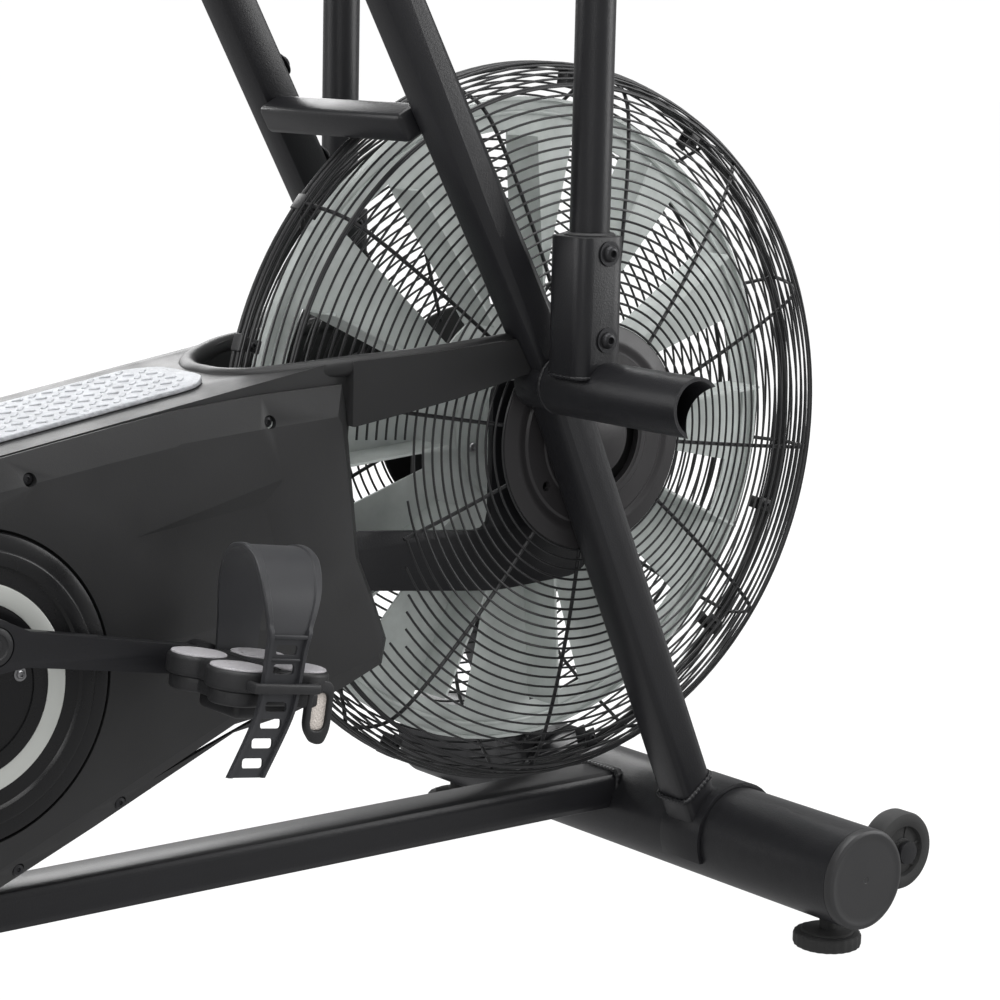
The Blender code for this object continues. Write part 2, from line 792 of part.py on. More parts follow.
# ---- levers ----
def build_lever(s):
    hollow = 0.0208
    start = (PIVOT_X, s * SLEEVE_START, PIVOT_Z)
    sleeve = rod(start, (PIVOT_X, s * SLEEVE_END, PIVOT_Z), SLEEVE_R, 32)
    part(sleeve, "lever_hub_" + SIDES[s], "frame_black", True)
    y = s * LEVER_Y
    height = SOCKET_TOP - PIVOT_Z
    socket = block(
        (SOCKET_SIZE, SOCKET_SIZE, height), (SOCKET_X, y, PIVOT_Z + height / 2), 0.0, 0.009, 3
    )
    join(sleeve, socket)
    cut(
        sleeve,
        rod((PIVOT_X, s * 0.13, PIVOT_Z), (PIVOT_X, s * 0.205, PIVOT_Z), STUB_R + GAP, 24),
        rod((PIVOT_X, s * 0.205, PIVOT_Z), (PIVOT_X, s * 0.32, PIVOT_Z), hollow, 32),
        rod((LEVER_X, y, 0.5075), (LEVER_X, y, 0.70), LEVER_R + GAP, 24),
        rod((PIVOT_X - 0.0816, s * 0.4146, 0.4841), (PIVOT_X + 0.0816, s * 0.2418, 0.4509), 0.030, 40),
    )
    path = bend(
        [
            (LEVER_X, y, 0.508),
            (LEVER_X, y, 1.000),
            (LEVER_X - 0.060, s * 0.190, 1.140),
            (LEVER_X - 0.150, s * 0.205, 1.215),
            (LEVER_X - 0.330, s * 0.205, 1.240),
        ],
        0.06,
    )
    handle = tube(path, LEVER_R)
    part(handle, "lever_" + SIDES[s], "frame_black", True)
    end = Vector(path[-1])
    run = (end - Vector(path[-2])).normalized()
    grip_start = end - run * 0.112
    grip = rod(grip_start, end + run * 0.006, 0.0200, 24)
    part(grip, "grip_" + SIDES[s], "foam", True)
    cut(grip, rod(grip_start - run * 0.02, end + run * GAP, LEVER_R + GAP, 24))
    pivot("pivot_lever_" + SIDES[s], (PIVOT_X, y, PIVOT_Z), sleeve, handle, grip)


# ---- housing ----
COVER_OUTLINE = [
    (-0.2585, 0.4825),
    (-0.334, 0.4790),
    (-0.404, 0.4725),
    (-0.456, 0.4645),
    (-0.506, 0.4560),
    (-0.5545, 0.4475),
    (-0.640, 0.4325),
    (-0.740, 0.4140),
    (-0.785, 0.380),
    (-0.806, 0.300),
    (-0.800, 0.190),
    (-0.765, 0.112),
    (-0.610, 0.108),
    (-0.563, 0.128),
    (-0.480, 0.163),
    (-0.356, 0.218),
    (-0.301, 0.226),
    (-0.253, 0.240),
    (-0.216, 0.255),
    (-0.212, 0.275),
    (-0.225, 0.309),
    (-0.240, 0.343),
    (-0.248, 0.408),
    (-0.2545, 0.463),
]


def build_cover(s):
    rings = [COVER_OUTLINE, circle(DISC_X, DISC_Z, DISC_R, 40)]
    mid = s * (COVER_IN + COVER_OUT) / 2
    cover = outline(rings, COVER_OUT - COVER_IN, mid, 0.0035)
    part(solid(cover), "side_cover_" + SIDES[s], "plastic_black")
    edge = DISC_R - 0.0020
    profile = [
        (0.0, 0.1010),
        (0.0500, 0.1010),
        (0.0560, 0.0990),
        (0.0900, 0.0990),
        (0.0960, 0.1020),
        (0.1080, 0.1020),
        (edge, 0.0985),
        (edge, 0.0880),
        (0.0, 0.0880),
    ]
    disc = turned(profile, (DISC_X, 0.0, DISC_Z), TURN_OUT[s], 44)
    part(disc, "disc_cover_" + SIDES[s], "plastic_black")
    cut(disc, rod((CRANK_X, s * 0.05, CRANK_Z), (CRANK_X, s * 0.15, CRANK_Z), 0.0125, 24))


def build_belly():
    path = [
        (-0.268, 0.247),
        (-0.301, 0.237),
        (-0.356, 0.229),
        (-0.480, 0.174),
        (-0.563, 0.139),
        (-0.612, 0.119),
        (-0.760, 0.121),
        (-0.791, 0.192),
        (-0.797, 0.300),
        (-0.778, 0.364),
        (-0.743, 0.384),
    ]
    belly = ribbon(path, 2 * (COVER_IN - GAP), 0.003, lambda a, b, w: (a, w, b))
    part(belly, "belly_shell", "plastic_black")
    width = 0.032 + 2 * GAP
    cut(belly, block((width, width, 0.20), (CRANK_X, 0.0, 0.15)))
    hole = seat_axis(0.03)
    size = (0.050 + 2 * GAP, 0.040 + 2 * GAP, 0.10)
    cut(belly, block(size, (hole[0], 0.0, hole[1]), -SEAT_LEAN_DEG))


def build_top_shell():
    front_x = -0.085
    side_view = [
        (-0.683, shell_top(-0.683)),
        (-0.262, shell_top(-0.262)),
        (-0.180, 0.505),
        (front_x, 0.515),
        (front_x, 0.487),
        (-0.161, 0.467),
        (-0.250, 0.449),
        (-0.330, shell_top(-0.330) - 0.024),
        (-0.683, shell_top(-0.683) - 0.024),
    ]
    edge = COVER_IN - GAP
    half_plan = [
        (-0.683, edge),
        (-0.2515, edge),
        (-0.2515, 0.0950),
        (-0.200, 0.1040),
        (front_x, 0.120),
        (front_x, 0.0990),
        (-0.150, 0.0945),
        (-0.200, 0.0890),
        (-0.250, 0.0800),
        (-0.285, 0.0640),
        (-0.310, 0.0440),
        (-0.322, 0.0200),
    ]
    plan = half_plan + [(x, -y) for x, y in reversed(half_plan)]
    shell = solid(outline([side_view], 0.30, 0.0))
    part(shell, "top_shell", "plastic_black")
    flat = solid(outline([plan], 0.40, turn=(0.0, 0.0, 0.0), centre=(0.0, 0.0, 0.45)))
    combine(shell, flat, "INTERSECT")
    knee = (FORK_KNEE[0], FORK_KNEE[1])
    top = (upright_x(0.70), 0.70)
    for s in (-1, 1):
        cut(shell, bar(knee, top, UPRIGHT_SIZE + 0.001, UPRIGHT_SIZE + 0.001, s * FORK_Y, 0.0))
        cut(shell, bar((0.0, 0.316), knee, LEG_SIZE + 0.001, LEG_SIZE + 0.001, s * FORK_Y, 0.0))
        cut(shell, rod((PIVOT_X, s * 0.08, PIVOT_Z), (PIVOT_X, s * 0.15, PIVOT_Z), 0.0220, 28))


def build_tread():
    lean = math.atan(SHELL_SLOPE)
    centre_x = -0.465
    half = 0.120
    corners = [(-half, -0.052), (half - 0.020, -0.052), (half, -0.030), (half, 0.030), (half - 0.020, 0.052), (-half, 0.052)]
    lift = 0.0020 + GAP
    centre = (centre_x - lift * math.sin(lean), 0.0, shell_top(centre_x) + lift * math.cos(lean))
    tread = outline([rounded(corners, 0.012, 3)], 0.004, turn=(0.0, -lean, 0.0), centre=centre)
    part(solid(tread), "tread_insert", "tread_grey")


# ---- seat ----
def build_seat():
    lean = -SEAT_LEAN_DEG
    length = SEAT_TUBE_TOP_S + 0.030
    mid = seat_axis(SEAT_TUBE_TOP_S - length / 2)
    tube_obj = block((0.050, 0.040, length), (mid[0], 0.0, mid[1]), lean, 0.006)
    part(tube_obj, "seat_tube", "frame_black")
    bore_mid = seat_axis(0.200 + 0.250)
    cut(tube_obj, block((0.0408, 0.0308, 0.500), (bore_mid[0], 0.0, bore_mid[1]), lean))
    cut(tube_obj, block((0.30, 0.30, 0.10), (SEAT_BASE_X, 0.0, BEAM_TOP + GAP - 0.050)))
    knob_base = seat_axis(0.465, -0.0250)
    pin_in = seat_axis(0.465, -0.0212)
    pin_out = seat_axis(0.465, -0.0300)
    hole_in = seat_axis(0.465, -0.0150)
    hole_out = seat_axis(0.465, -0.0400)
    cut(tube_obj, rod((hole_in[0], 0.0, hole_in[1]), (hole_out[0], 0.0, hole_out[1]), 0.0054, 16))

    post_mid = seat_axis((POST_START_S + POST_TOP_S) / 2)
    post = block(
        (0.0400, 0.0300, POST_TOP_S - POST_START_S), (post_mid[0], 0.0, post_mid[1]), lean, 0.004
    )
    part(post, "seat_post", "steel")
    top = seat_axis(POST_TOP_S)
    rail = block((0.230, 0.036, 0.018), (top[0] - 0.005, 0.0, top[1] + 0.006), 0.0, 0.003)
    join(post, rail)

    knob_turn = (0.0, math.radians(-90.0 - SEAT_LEAN_DEG), 0.0)
    profile = [
        (0.0, 0.0400),
        (0.0130, 0.0400),
        (0.0190, 0.0350),
        (0.0190, 0.0180),
        (0.0110, 0.0120),
        (0.0110, 0.0010),
        (0.0050, 0.0010),
        (0.0050, -0.0038),
        (0.0, -0.0038),
    ]
    knob = turned(profile, (knob_base[0], 0.0, knob_base[1]), knob_turn, 24)
    part(knob, "post_pin_knob", "plastic_black")
    pivot("pivot_post_pin", (knob_base[0], 0.0, knob_base[1]), knob)
    return top


def build_saddle(top):
    rail_z = top[1] + 0.006
    rail_x = top[0] - 0.005
    slider = block((0.100, 0.050, 0.034), (rail_x, 0.0, rail_z + 0.004), 0.0, 0.004)
    part(slider, "saddle_slider", "frame_black")
    cut(slider, block((0.30, 0.0368, 0.0188), (rail_x, 0.0, rail_z)))
    cut(slider, block((0.30, 0.0300, 0.040), (rail_x, 0.0, rail_z - 0.024)))
    profile = [
        (0.0, 0.0400),
        (0.0140, 0.0400),
        (0.0190, 0.0350),
        (0.0190, 0.0180),
        (0.0100, 0.0120),
        (0.0100, 0.0005),
        (0.0, 0.0005),
    ]
    clamp = turned(profile, (rail_x, -0.0250, rail_z), TURN_OUT[-1], 24)
    part(clamp, "saddle_clamp_knob", "plastic_black")
    saddle = saddle_body((rail_x + 0.015, 0.0, rail_z + 0.0214))
    pivot("pivot_saddle", (rail_x, 0.0, rail_z), slider, saddle)
    pivot("pivot_saddle_clamp", (rail_x, -0.0250, rail_z), clamp)


def saddle_body(base):
    """A comfort saddle: narrow at the nose, broad and gently dished at the rear."""
    bpy.ops.mesh.primitive_cube_add(size=1.0)
    saddle = bpy.context.object
    work = bmesh.new()
    work.from_mesh(saddle.data)
    bmesh.ops.subdivide_edges(work, edges=work.edges, cuts=9, use_grid_fill=True)
    for vert in work.verts:
        vert.co = saddle_point(vert.co)
    bmesh.ops.recalc_face_normals(work, faces=work.faces)
    work.to_mesh(saddle.data)
    work.free()
    saddle.location = base
    return part(saddle, "saddle", "saddle_skin", True)


def saddle_half_width(along):
    t = min(1.0, max(0.0, (0.45 - along) / 1.15))
    half = 0.031 + 0.084 * t * t * (3.0 - 2.0 * t)
    nose = max(0.0, (along - 0.70) / 0.30)
    tail = max(0.0, (-along - 0.45) / 0.55)
    return half * (1.0 - 0.42 * nose ** 3) * (1.0 - 0.30 * tail ** 3)


def saddle_point(co):
    """A point of the unit cube moved onto the saddle."""
    along = co.x * 2.0
    across = co.y * 2.0
    up = co.z + 0.5
    rear = max(0.0, -along)
    x = 0.140 * along * (1.0 - 0.13 * across ** 2) * (0.95 + 0.05 * math.sqrt(up))
    height = 0.052 + 0.010 * rear ** 2 - 0.006 * max(0.0, along) ** 3
    height = height + 0.006 * rear * abs(across) - 0.016 * abs(across) ** 4
    tuck = 1.0 - 0.16 * (1.0 - up) ** 2 - 0.05 * up ** 4
    return Vector((x, across * saddle_half_width(along) * tuck, up * height))


# ---- console ----
def console_point(forward, across, out):
    """A point in the console's own frame: forward up the face, out of the face."""
    tilt = math.radians(CONSOLE_TILT_DEG)
    x = CONSOLE_PIVOT[0] + forward * math.cos(tilt) - out * math.sin(tilt)
    z = CONSOLE_PIVOT[1] + forward * math.sin(tilt) + out * math.cos(tilt)
    return (x, across, z)


def console_block(size, spot, bevel):
    return block(size, console_point(*spot), -CONSOLE_TILT_DEG, bevel)


def build_console():
    case = console_block((0.140, 0.190, 0.030), (0.010, 0.0, 0.0290), 0.008)
    part(case, "console", "plastic_black")
    cut(case, console_block((0.072, 0.150, 0.006), (0.030, 0.0, 0.0440), 0.0))
    screen = console_block((0.0710, 0.149, 0.0026), (0.030, 0.0, 0.0426), 0.0)
    part(screen, "console_screen", "display")
    moving = [case, screen]
    for name, across in (("button_left", 0.060), ("button_centre", 0.0), ("button_right", -0.060)):
        cut(case, console_block((0.0208, 0.0388, 0.010), (-0.033, across, 0.0440), 0.0))
        button = console_block((0.020, 0.038, 0.0050), (-0.033, across, 0.0440), 0.0015)
        moving.append(part(button, name, "button_grey"))
    ears = [
        console_block((0.022, 0.006, 0.032), (0.0, 0.0345, 0.0040), 0.0),
        console_block((0.022, 0.006, 0.032), (0.0, -0.0345, 0.0040), 0.0),
    ]
    join(case, *ears)
    pivot("pivot_console", (CONSOLE_PIVOT[0], 0.0, CONSOLE_PIVOT[1]), *moving)


# ---- assembly ----
def stand_on_origin():
    """Puts the origin on the floor under the middle of the machine's length."""
    for obj in bpy.data.objects:
        if obj.parent is None:
            obj.location.x += ORIGIN_SHIFT


build_base()
build_centre_frame()
build_bars()
build_rotor()
build_drive()
build_belly()
build_top_shell()
build_tread()
build_saddle(build_seat())
build_console()
for SIDE in (-1, 1):
    build_fork(SIDE)
    build_cage(SIDE)
    build_axle_bracket(SIDE)
    build_cover(SIDE)
    build_pedal(SIDE, *build_crank_arm(SIDE))
    build_lever(SIDE)
stand_on_origin()
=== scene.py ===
import math

import bmesh
import bpy
from mathutils import Matrix, Vector


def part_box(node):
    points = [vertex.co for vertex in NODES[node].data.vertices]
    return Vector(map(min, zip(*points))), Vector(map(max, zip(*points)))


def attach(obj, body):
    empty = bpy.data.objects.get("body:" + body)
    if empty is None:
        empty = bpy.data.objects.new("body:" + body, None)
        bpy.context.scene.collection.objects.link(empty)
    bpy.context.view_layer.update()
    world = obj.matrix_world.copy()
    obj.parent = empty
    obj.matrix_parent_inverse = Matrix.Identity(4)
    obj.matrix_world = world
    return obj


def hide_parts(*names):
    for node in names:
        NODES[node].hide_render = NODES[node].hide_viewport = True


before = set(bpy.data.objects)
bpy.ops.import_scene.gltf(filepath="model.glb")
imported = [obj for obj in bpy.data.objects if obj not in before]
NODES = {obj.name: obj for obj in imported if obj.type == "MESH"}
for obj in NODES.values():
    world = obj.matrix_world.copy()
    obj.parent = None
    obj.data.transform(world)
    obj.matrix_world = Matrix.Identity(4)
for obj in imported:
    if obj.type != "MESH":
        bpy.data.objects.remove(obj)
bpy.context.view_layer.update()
SCENE = bpy.context.scene
SHIFT = 0.3205          # fan axle's x in the row frame; shapes below are written from the fan axle
SIDES = {-1: "right", 1: "left"}
CRANK = (-0.585, 0.322)     # x and z of the crank's axle
PIVOT = (-0.075, 0.476)     # x and z of the levers' pivot
SEAT_LEAN = 10.0            # degrees the seat post leans back
CONSOLE_TILT = 38.0         # degrees the console's face is tipped
SPECULAR = 0.34             # specular level of every finish
DUST = [0.30, 0.30, 0.31, 1.0]


# ---- materials ----
def node(tree, kind, **inputs):
    made = tree.nodes.new(kind)
    for name, value in inputs.items():
        made.inputs[name.replace("_", " ")].default_value = value
    return made


def remap(tree, source, low, high, start=0.3, end=0.7):
    """Maps source's values from start..end onto low..high."""
    made = node(tree, "ShaderNodeMapRange", From_Min=start, From_Max=end, To_Min=low, To_Max=high)
    tree.links.new(source, made.inputs["Value"])
    return made.outputs["Result"]


def mix(tree, factor, *tones):
    """Blends two tones, each a colour or a socket."""
    made = tree.nodes.new("ShaderNodeMix")
    made.data_type = "RGBA"
    tree.links.new(factor, made.inputs[0])
    for index, tone in zip((6, 7), tones):
        if isinstance(tone, list):
            made.inputs[index].default_value = tone
        else:
            tree.links.new(tone, made.inputs[index])
    return made.outputs[2]


def grain_value(tree, coords, kind, scale):
    if kind == "cells":
        tex, out = node(tree, "ShaderNodeTexVoronoi", Scale=scale), "Distance"
    elif kind == "lines":
        tex, out = node(tree, "ShaderNodeTexWave", Scale=scale, Distortion=0.0), "Fac"
        tex.bands_direction = "X"
    else:
        tex, out = node(tree, "ShaderNodeTexNoise", Scale=scale, Detail=4.0, Roughness=0.6), "Fac"
    tree.links.new(coords, tex.inputs["Vector"])
    return tex.outputs[out]


def finish(name, colour, rough, metal=0.0, vary=0.2, patch=9.0, rough_vary=0.06, bumps=(), wear=0.0,
           wear_colour=(0.3, 0.3, 0.3), coat=0.0, sheen=0.0, dust=0.0):
    """A procedural material: tone and roughness that drift, layered bumps, worn edges, dust on top."""
    mat = bpy.data.materials.new(name)
    mat.use_nodes = True
    tree = mat.node_tree
    shader = tree.nodes["Principled BSDF"]
    coords = tree.nodes.new("ShaderNodeTexCoord").outputs["Object"]
    drift = remap(tree, grain_value(tree, coords, "noise", patch), 0.0, 1.0)
    low, high = [[c * (1 + sign * vary) for c in colour] + [1.0] for sign in (-1, 1)]
    tone = mix(tree, drift, low, high)
    if wear > 0.0:
        geometry = tree.nodes.new("ShaderNodeNewGeometry")
        patchy = tree.nodes.new("ShaderNodeMath")
        patchy.operation = "MULTIPLY"
        edge = remap(tree, geometry.outputs["Pointiness"], 0.0, wear, 0.535, 0.62)
        tree.links.new(edge, patchy.inputs[0])
        scratch = grain_value(tree, coords, "noise", 120.0)
        tree.links.new(remap(tree, scratch, 0.2, 1.0), patchy.inputs[1])
        tone = mix(tree, patchy.outputs[0], tone, list(wear_colour) + [1.0])
    if dust > 0.0:
        geometry = tree.nodes.new("ShaderNodeNewGeometry")
        split = tree.nodes.new("ShaderNodeSeparateXYZ")
        tree.links.new(geometry.outputs["Normal"], split.inputs[0])
        tone = mix(tree, remap(tree, split.outputs["Z"], 0.0, dust, 0.55, 1.0), tone, DUST)
    tree.links.new(tone, shader.inputs["Base Color"])
    smear = grain_value(tree, coords, "noise", patch * 3.1)
    tree.links.new(remap(tree, smear, rough - rough_vary, rough + rough_vary), shader.inputs["Roughness"])
    for key, value in (("Metallic", metal), ("Coat Weight", coat), ("Coat Roughness", 0.12),
                       ("Sheen Weight", sheen), ("Specular IOR Level", SPECULAR)):
        shader.inputs[key].default_value = value
    normal = None
    for kind, scale, height in bumps:
        bump = node(tree, "ShaderNodeBump", Strength=1.0, Distance=height)
        tree.links.new(grain_value(tree, coords, kind, scale), bump.inputs["Height"])
        if normal is not None:
            tree.links.new(normal, bump.inputs["Normal"])
        normal = bump.outputs["Normal"]
    if normal is not None:
        tree.links.new(normal, shader.inputs["Normal"])
    return mat


M = {
    "coat": finish("powder_coat", (0.0095, 0.0095, 0.0108), 0.34, vary=0.10, rough_vary=0.02,
                   bumps=[("noise", 650.0, 0.00018)], wear=0.04, wear_colour=(0.11, 0.11, 0.115)),
    "moulded": finish("moulded_plastic", (0.015, 0.015, 0.016), 0.44, vary=0.10,
                      bumps=[("cells", 900.0, 0.00010), ("noise", 400.0, 0.00010)], wear=0.15,
                      wear_colour=(0.12, 0.12, 0.125)),
    # the caps' plastic is lighter than the other black plastic: painted light, standing for low light from
    # the front
    "lit_capping": finish("cap_plastic_painted_light", (0.026, 0.026, 0.027), 0.40, vary=0.06,
                      bumps=[("noise", 600.0, 0.00006)]),
    "panel": finish("panel_plastic", (0.015, 0.015, 0.0155), 0.46, vary=0.08,
                    bumps=[("noise", 1100.0, 0.00010), ("noise", 160.0, 0.00006)]),
    "shell": finish("shell_plastic", (0.015, 0.015, 0.0155), 0.42, vary=0.10,
                    bumps=[("noise", 900.0, 0.00008)]),
    "gloss": finish("disc_plastic", (0.006, 0.006, 0.0065), 0.27, vary=0.10, rough_vary=0.04,
                    bumps=[("noise", 700.0, 0.00004)]),
    "gap": finish("shadow_gap", (0.004, 0.004, 0.004), 0.8, vary=0.1),
    "silver": finish("silver_trim", (0.42, 0.43, 0.41), 0.36, metal=0.20, vary=0.03,
                     bumps=[("noise", 900.0, 0.00003)]),
    "web": finish("galvanised_web", (0.47, 0.50, 0.485), 0.46, metal=0.08, vary=0.14, patch=26.0,
                  bumps=[("noise", 300.0, 0.00012)]),
    "wire": finish("wire_paint", (0.016, 0.016, 0.017), 0.36, bumps=[("noise", 800.0, 0.00006)]),
    "plate": finish("hub_plate_paint", (0.018, 0.017, 0.018), 0.36, vary=0.08,
                    bumps=[("noise", 700.0, 0.00008)]),
    "rubber": finish("rubber", (0.022, 0.022, 0.022), 0.68, bumps=[("noise", 900.0, 0.00022)], dust=0.05),
    "strap": finish("strap_rubber", (0.016, 0.0165, 0.019), 0.44, vary=0.10, sheen=0.08,
                    bumps=[("noise", 1000.0, 0.00008)]),
    "pad": finish("pedal_pad", (0.36, 0.35, 0.365), 0.62, vary=0.10,
                  bumps=[("cells", 420.0, 0.00060), ("noise", 1200.0, 0.00010)]),
    "zinc": finish("zinc_plate", (0.42, 0.42, 0.43), 0.34, metal=1.0, vary=0.18, patch=60.0,
                   bumps=[("noise", 700.0, 0.00010)]),
    "black_bolt": finish("black_bolt", (0.030, 0.030, 0.032), 0.35, metal=0.6, vary=0.2,
                         bumps=[("noise", 900.0, 0.00008)]),
    "chrome": finish("post_chrome", (0.60, 0.60, 0.61), 0.26, metal=0.55, vary=0.05,
                     bumps=[("noise", 240.0, 0.00002)]),
    "tread": finish("tread_pad", (0.42, 0.43, 0.45), 0.66, vary=0.10, patch=40.0,
                    bumps=[("cells", 260.0, 0.00080), ("noise", 900.0, 0.00020)]),
    "foam": finish("foam_grip", (0.016, 0.016, 0.016), 0.92, sheen=0.25,
                   bumps=[("cells", 1300.0, 0.00045), ("noise", 500.0, 0.00030)]),
    "skin": finish("saddle_skin", (0.017, 0.017, 0.018), 0.50, vary=0.12, sheen=0.10,
                   bumps=[("cells", 620.0, 0.00034), ("noise", 1500.0, 0.00012)]),
    "display": finish("display_glass", (0.105, 0.125, 0.110), 0.09, vary=0.04, rough_vary=0.02, coat=0.6,
                      bumps=[("noise", 60.0, 0.00002)]),
    "segment": finish("display_segment", (0.012, 0.014, 0.013), 0.25, vary=0.05),
    "key": finish("key_plastic", (0.33, 0.33, 0.34), 0.48, vary=0.06, bumps=[("noise", 900.0, 0.00010)]),
    "mark": finish("key_mark", (0.03, 0.03, 0.03), 0.5, vary=0.05),
    "lens": finish("amber_lens", (0.55, 0.50, 0.46), 0.30, vary=0.15,
                   bumps=[("cells", 700.0, 0.00060)]),
    "belt": finish("belt_rubber", (0.016, 0.016, 0.016), 0.60, bumps=[("lines", 300.0, 0.00030)]),
}


# ---- mesh helpers ----
def shade(obj, degrees=32.0):
    for poly in obj.data.polygons:
        poly.use_smooth = True
    obj.data.set_sharp_from_angle(angle=math.radians(degrees))


def keep(obj, name, body, slot, mat, replaces=(), degrees=32.0):
    """Names a finished piece, gives it its material and its body."""
    obj.name = name
    obj.data.name = name
    obj.data.materials.clear()
    obj.data.materials.append(M[mat])
    shade(obj, degrees)
    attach(obj, body)
    if replaces:
        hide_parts(*replaces)
    return obj


def placed(name, data):
    """A new object that holds data, linked into the scene."""
    obj = bpy.data.objects.new(name, data)
    SCENE.collection.objects.link(obj)
    return obj


def to_object(work, name="piece"):
    mesh = bpy.data.meshes.new(name)
    work.to_mesh(mesh)
    work.free()
    return placed(name, mesh)


def from_bmesh(work):
    bmesh.ops.remove_doubles(work, verts=work.verts, dist=0.000005)
    bmesh.ops.dissolve_degenerate(work, edges=work.edges, dist=0.000005)
    bmesh.ops.recalc_face_normals(work, faces=work.faces)
    return to_object(work)


def bridge(faces, first, second, count):
    """Joins two closed rows of points, numbered from first and from second."""
    for k in range(count):
        n = (k + 1) % count
        faces.append((first + k, first + n, second + n, second + k))


def from_data(verts, faces):
    work = bmesh.new()
    made = [work.verts.new((x + SHIFT, y, z)) for x, y, z in verts]
    for face in faces:
        if len(set(face)) > 2:
            try:
                work.faces.new([made[i] for i in face])
            except ValueError:
                pass
    return from_bmesh(work)


def baked(obj):
    """Applies an object's modifiers and its transform to its mesh."""
    bpy.context.view_layer.update()
    graph = bpy.context.evaluated_depsgraph_get()
    mesh = bpy.data.meshes.new_from_object(obj.evaluated_get(graph))
    mesh.transform(obj.matrix_world)
    obj.modifiers.clear()
    if obj.type == "MESH":
        obj.data = mesh
        obj.matrix_world = Matrix.Identity(4)
        return obj
    made = placed("piece", mesh)
    bpy.data.objects.remove(obj)
    return made


def carve(obj, cutters, operation="DIFFERENCE"):
    for cutter in cutters:
        mod = obj.modifiers.new("cut", "BOOLEAN")
        mod.operation = operation
        mod.solver = "EXACT"
        mod.object = cutter
    baked(obj)
    for cutter in cutters:
        bpy.data.objects.remove(cutter)
    return obj


def soften(obj, width, degrees=35.0, segments=3):
    mod = obj.modifiers.new("round", "BEVEL")
    mod.width = width
    mod.segments = segments
    mod.limit_method = "ANGLE"
    mod.angle_limit = math.radians(degrees)
    return baked(obj)


def basis(axis):
    axis = Vector(axis).normalized()
    side = axis.orthogonal().normalized()
    return side, axis.cross(side), axis


def lathe(profile, centre, axis=(0, -1, 0), steps=64, ring=False, lobes=0, lobe=0.0, reach=0.0):
    """Turns (radius, height) points about an axis; a ring joins the last point back to the first."""
    side, other, along = basis(axis)
    centre = Vector(centre)
    verts, index = [], []
    for r, h in profile:
        if r < 1e-7:
            verts.append(centre + along * h)
            index.append([len(verts) - 1] * steps)
            continue
        row = []
        for k in range(steps):
            a = 2 * math.pi * k / steps
            wave = 1.0 + (lobe * math.cos(lobes * a) if lobes and r > reach else 0.0)
            verts.append(centre + along * h + (side * math.cos(a) + other * math.sin(a)) * r * wave)
            row.append(len(verts) - 1)
        index.append(row)
    rows = list(zip(index, index[1:]))
    if ring:
        rows.append((index[-1], index[0]))
    faces = []
    for a, b in rows:
        for k in range(steps):
            n = (k + 1) % steps
            face = []
            for i in (a[k], a[n], b[n], b[k]):
                if i not in face:
                    face.append(i)
            faces.append(face)
    return from_data(verts, faces)


def sweep(points, radius, sides=8, closed=False, out=None):
    """A round bar through points; radius may be a list. Adds to (verts, faces) when out is given."""
    verts, faces = out if out is not None else ([], [])
    pts = [Vector(p) for p in points]
    total = len(pts)
    if total < 2:
        return None
    start = len(verts)
    normal = None
    for i, p in enumerate(pts):
        ahead = pts[(i + 1) % total] if closed or i < total - 1 else p
        back = pts[i - 1] if closed or i > 0 else p
        along = (ahead - back).normalized()
        if normal is None:
            normal = along.orthogonal().normalized()
        normal = (normal - along * normal.dot(along)).normalized()
        other = along.cross(normal)
        r = radius[i] if isinstance(radius, (list, tuple)) else radius
        for k in range(sides):
            a = 2 * math.pi * k / sides
            verts.append(p + (normal * math.cos(a) + other * math.sin(a)) * r)
    for i in range(total if closed else total - 1):
        bridge(faces, start + i * sides, start + ((i + 1) % total) * sides, sides)
    if not closed:
        faces.append(tuple(start + k for k in range(sides))[::-1])
        faces.append(tuple(start + (total - 1) * sides + k for k in range(sides)))
    return from_data(verts, faces) if out is None else None


def flat(rings, low, high, bevel=0.0, resolution=2, plane="xz"):
    """Closed rings of points given a thickness from low to high across their plane; inner rings are holes."""
    curve = bpy.data.curves.new("flat", "CURVE")
    curve.dimensions = "2D"
    curve.fill_mode = "BOTH"
    curve.extrude = abs(high - low) / 2 - bevel
    curve.bevel_depth = bevel
    curve.bevel_resolution = resolution
    curve.offset = -bevel
    for points in rings:
        spline = curve.splines.new("POLY")
        spline.points.add(len(points) - 1)
        for point, (a, b) in zip(spline.points, points):
            point.co = (a, b, 0.0, 1.0)
        spline.use_cyclic_u = True
    obj = placed("flat", curve)
    if plane == "xz":
        obj.rotation_euler = (math.pi / 2, 0.0, 0.0)
        obj.location = (SHIFT, (low + high) / 2, 0.0)
    else:
        obj.location = (SHIFT, 0.0, (low + high) / 2)
    made = baked(obj)
    work = bmesh.new()
    work.from_mesh(made.data)
    bpy.data.objects.remove(made)
    return from_bmesh(work)


def box(size, centre, turn=(0.0, 0.0, 0.0), bevel=0.0, segments=3):
    """A box with rounded edges, turned by Euler angles in degrees."""
    work = bmesh.new()
    bmesh.ops.create_cube(work, size=1.0)
    for vert in work.verts:
        vert.co = Vector((vert.co.x * size[0], vert.co.y * size[1], vert.co.z * size[2]))
    if bevel > 0.0:
        bmesh.ops.bevel(work, geom=work.edges[:], offset=bevel, segments=segments, profile=0.5,
                        affect="EDGES")
    spin = Matrix.Rotation(math.radians(turn[2]), 4, "Z") @ Matrix.Rotation(
        math.radians(turn[1]), 4, "Y") @ Matrix.Rotation(math.radians(turn[0]), 4, "X")
    place = Matrix.Translation((centre[0] + SHIFT, centre[1], centre[2])) @ spin
    bmesh.ops.transform(work, matrix=place, verts=work.verts)
    return from_bmesh(work)


def rod(start, end, radius, sides=48):
    start, end = Vector(start), Vector(end)
    axis = end - start
    return lathe([(0.0, 0.0), (radius, 0.0), (radius, axis.length), (0.0, axis.length)], start, axis, sides)


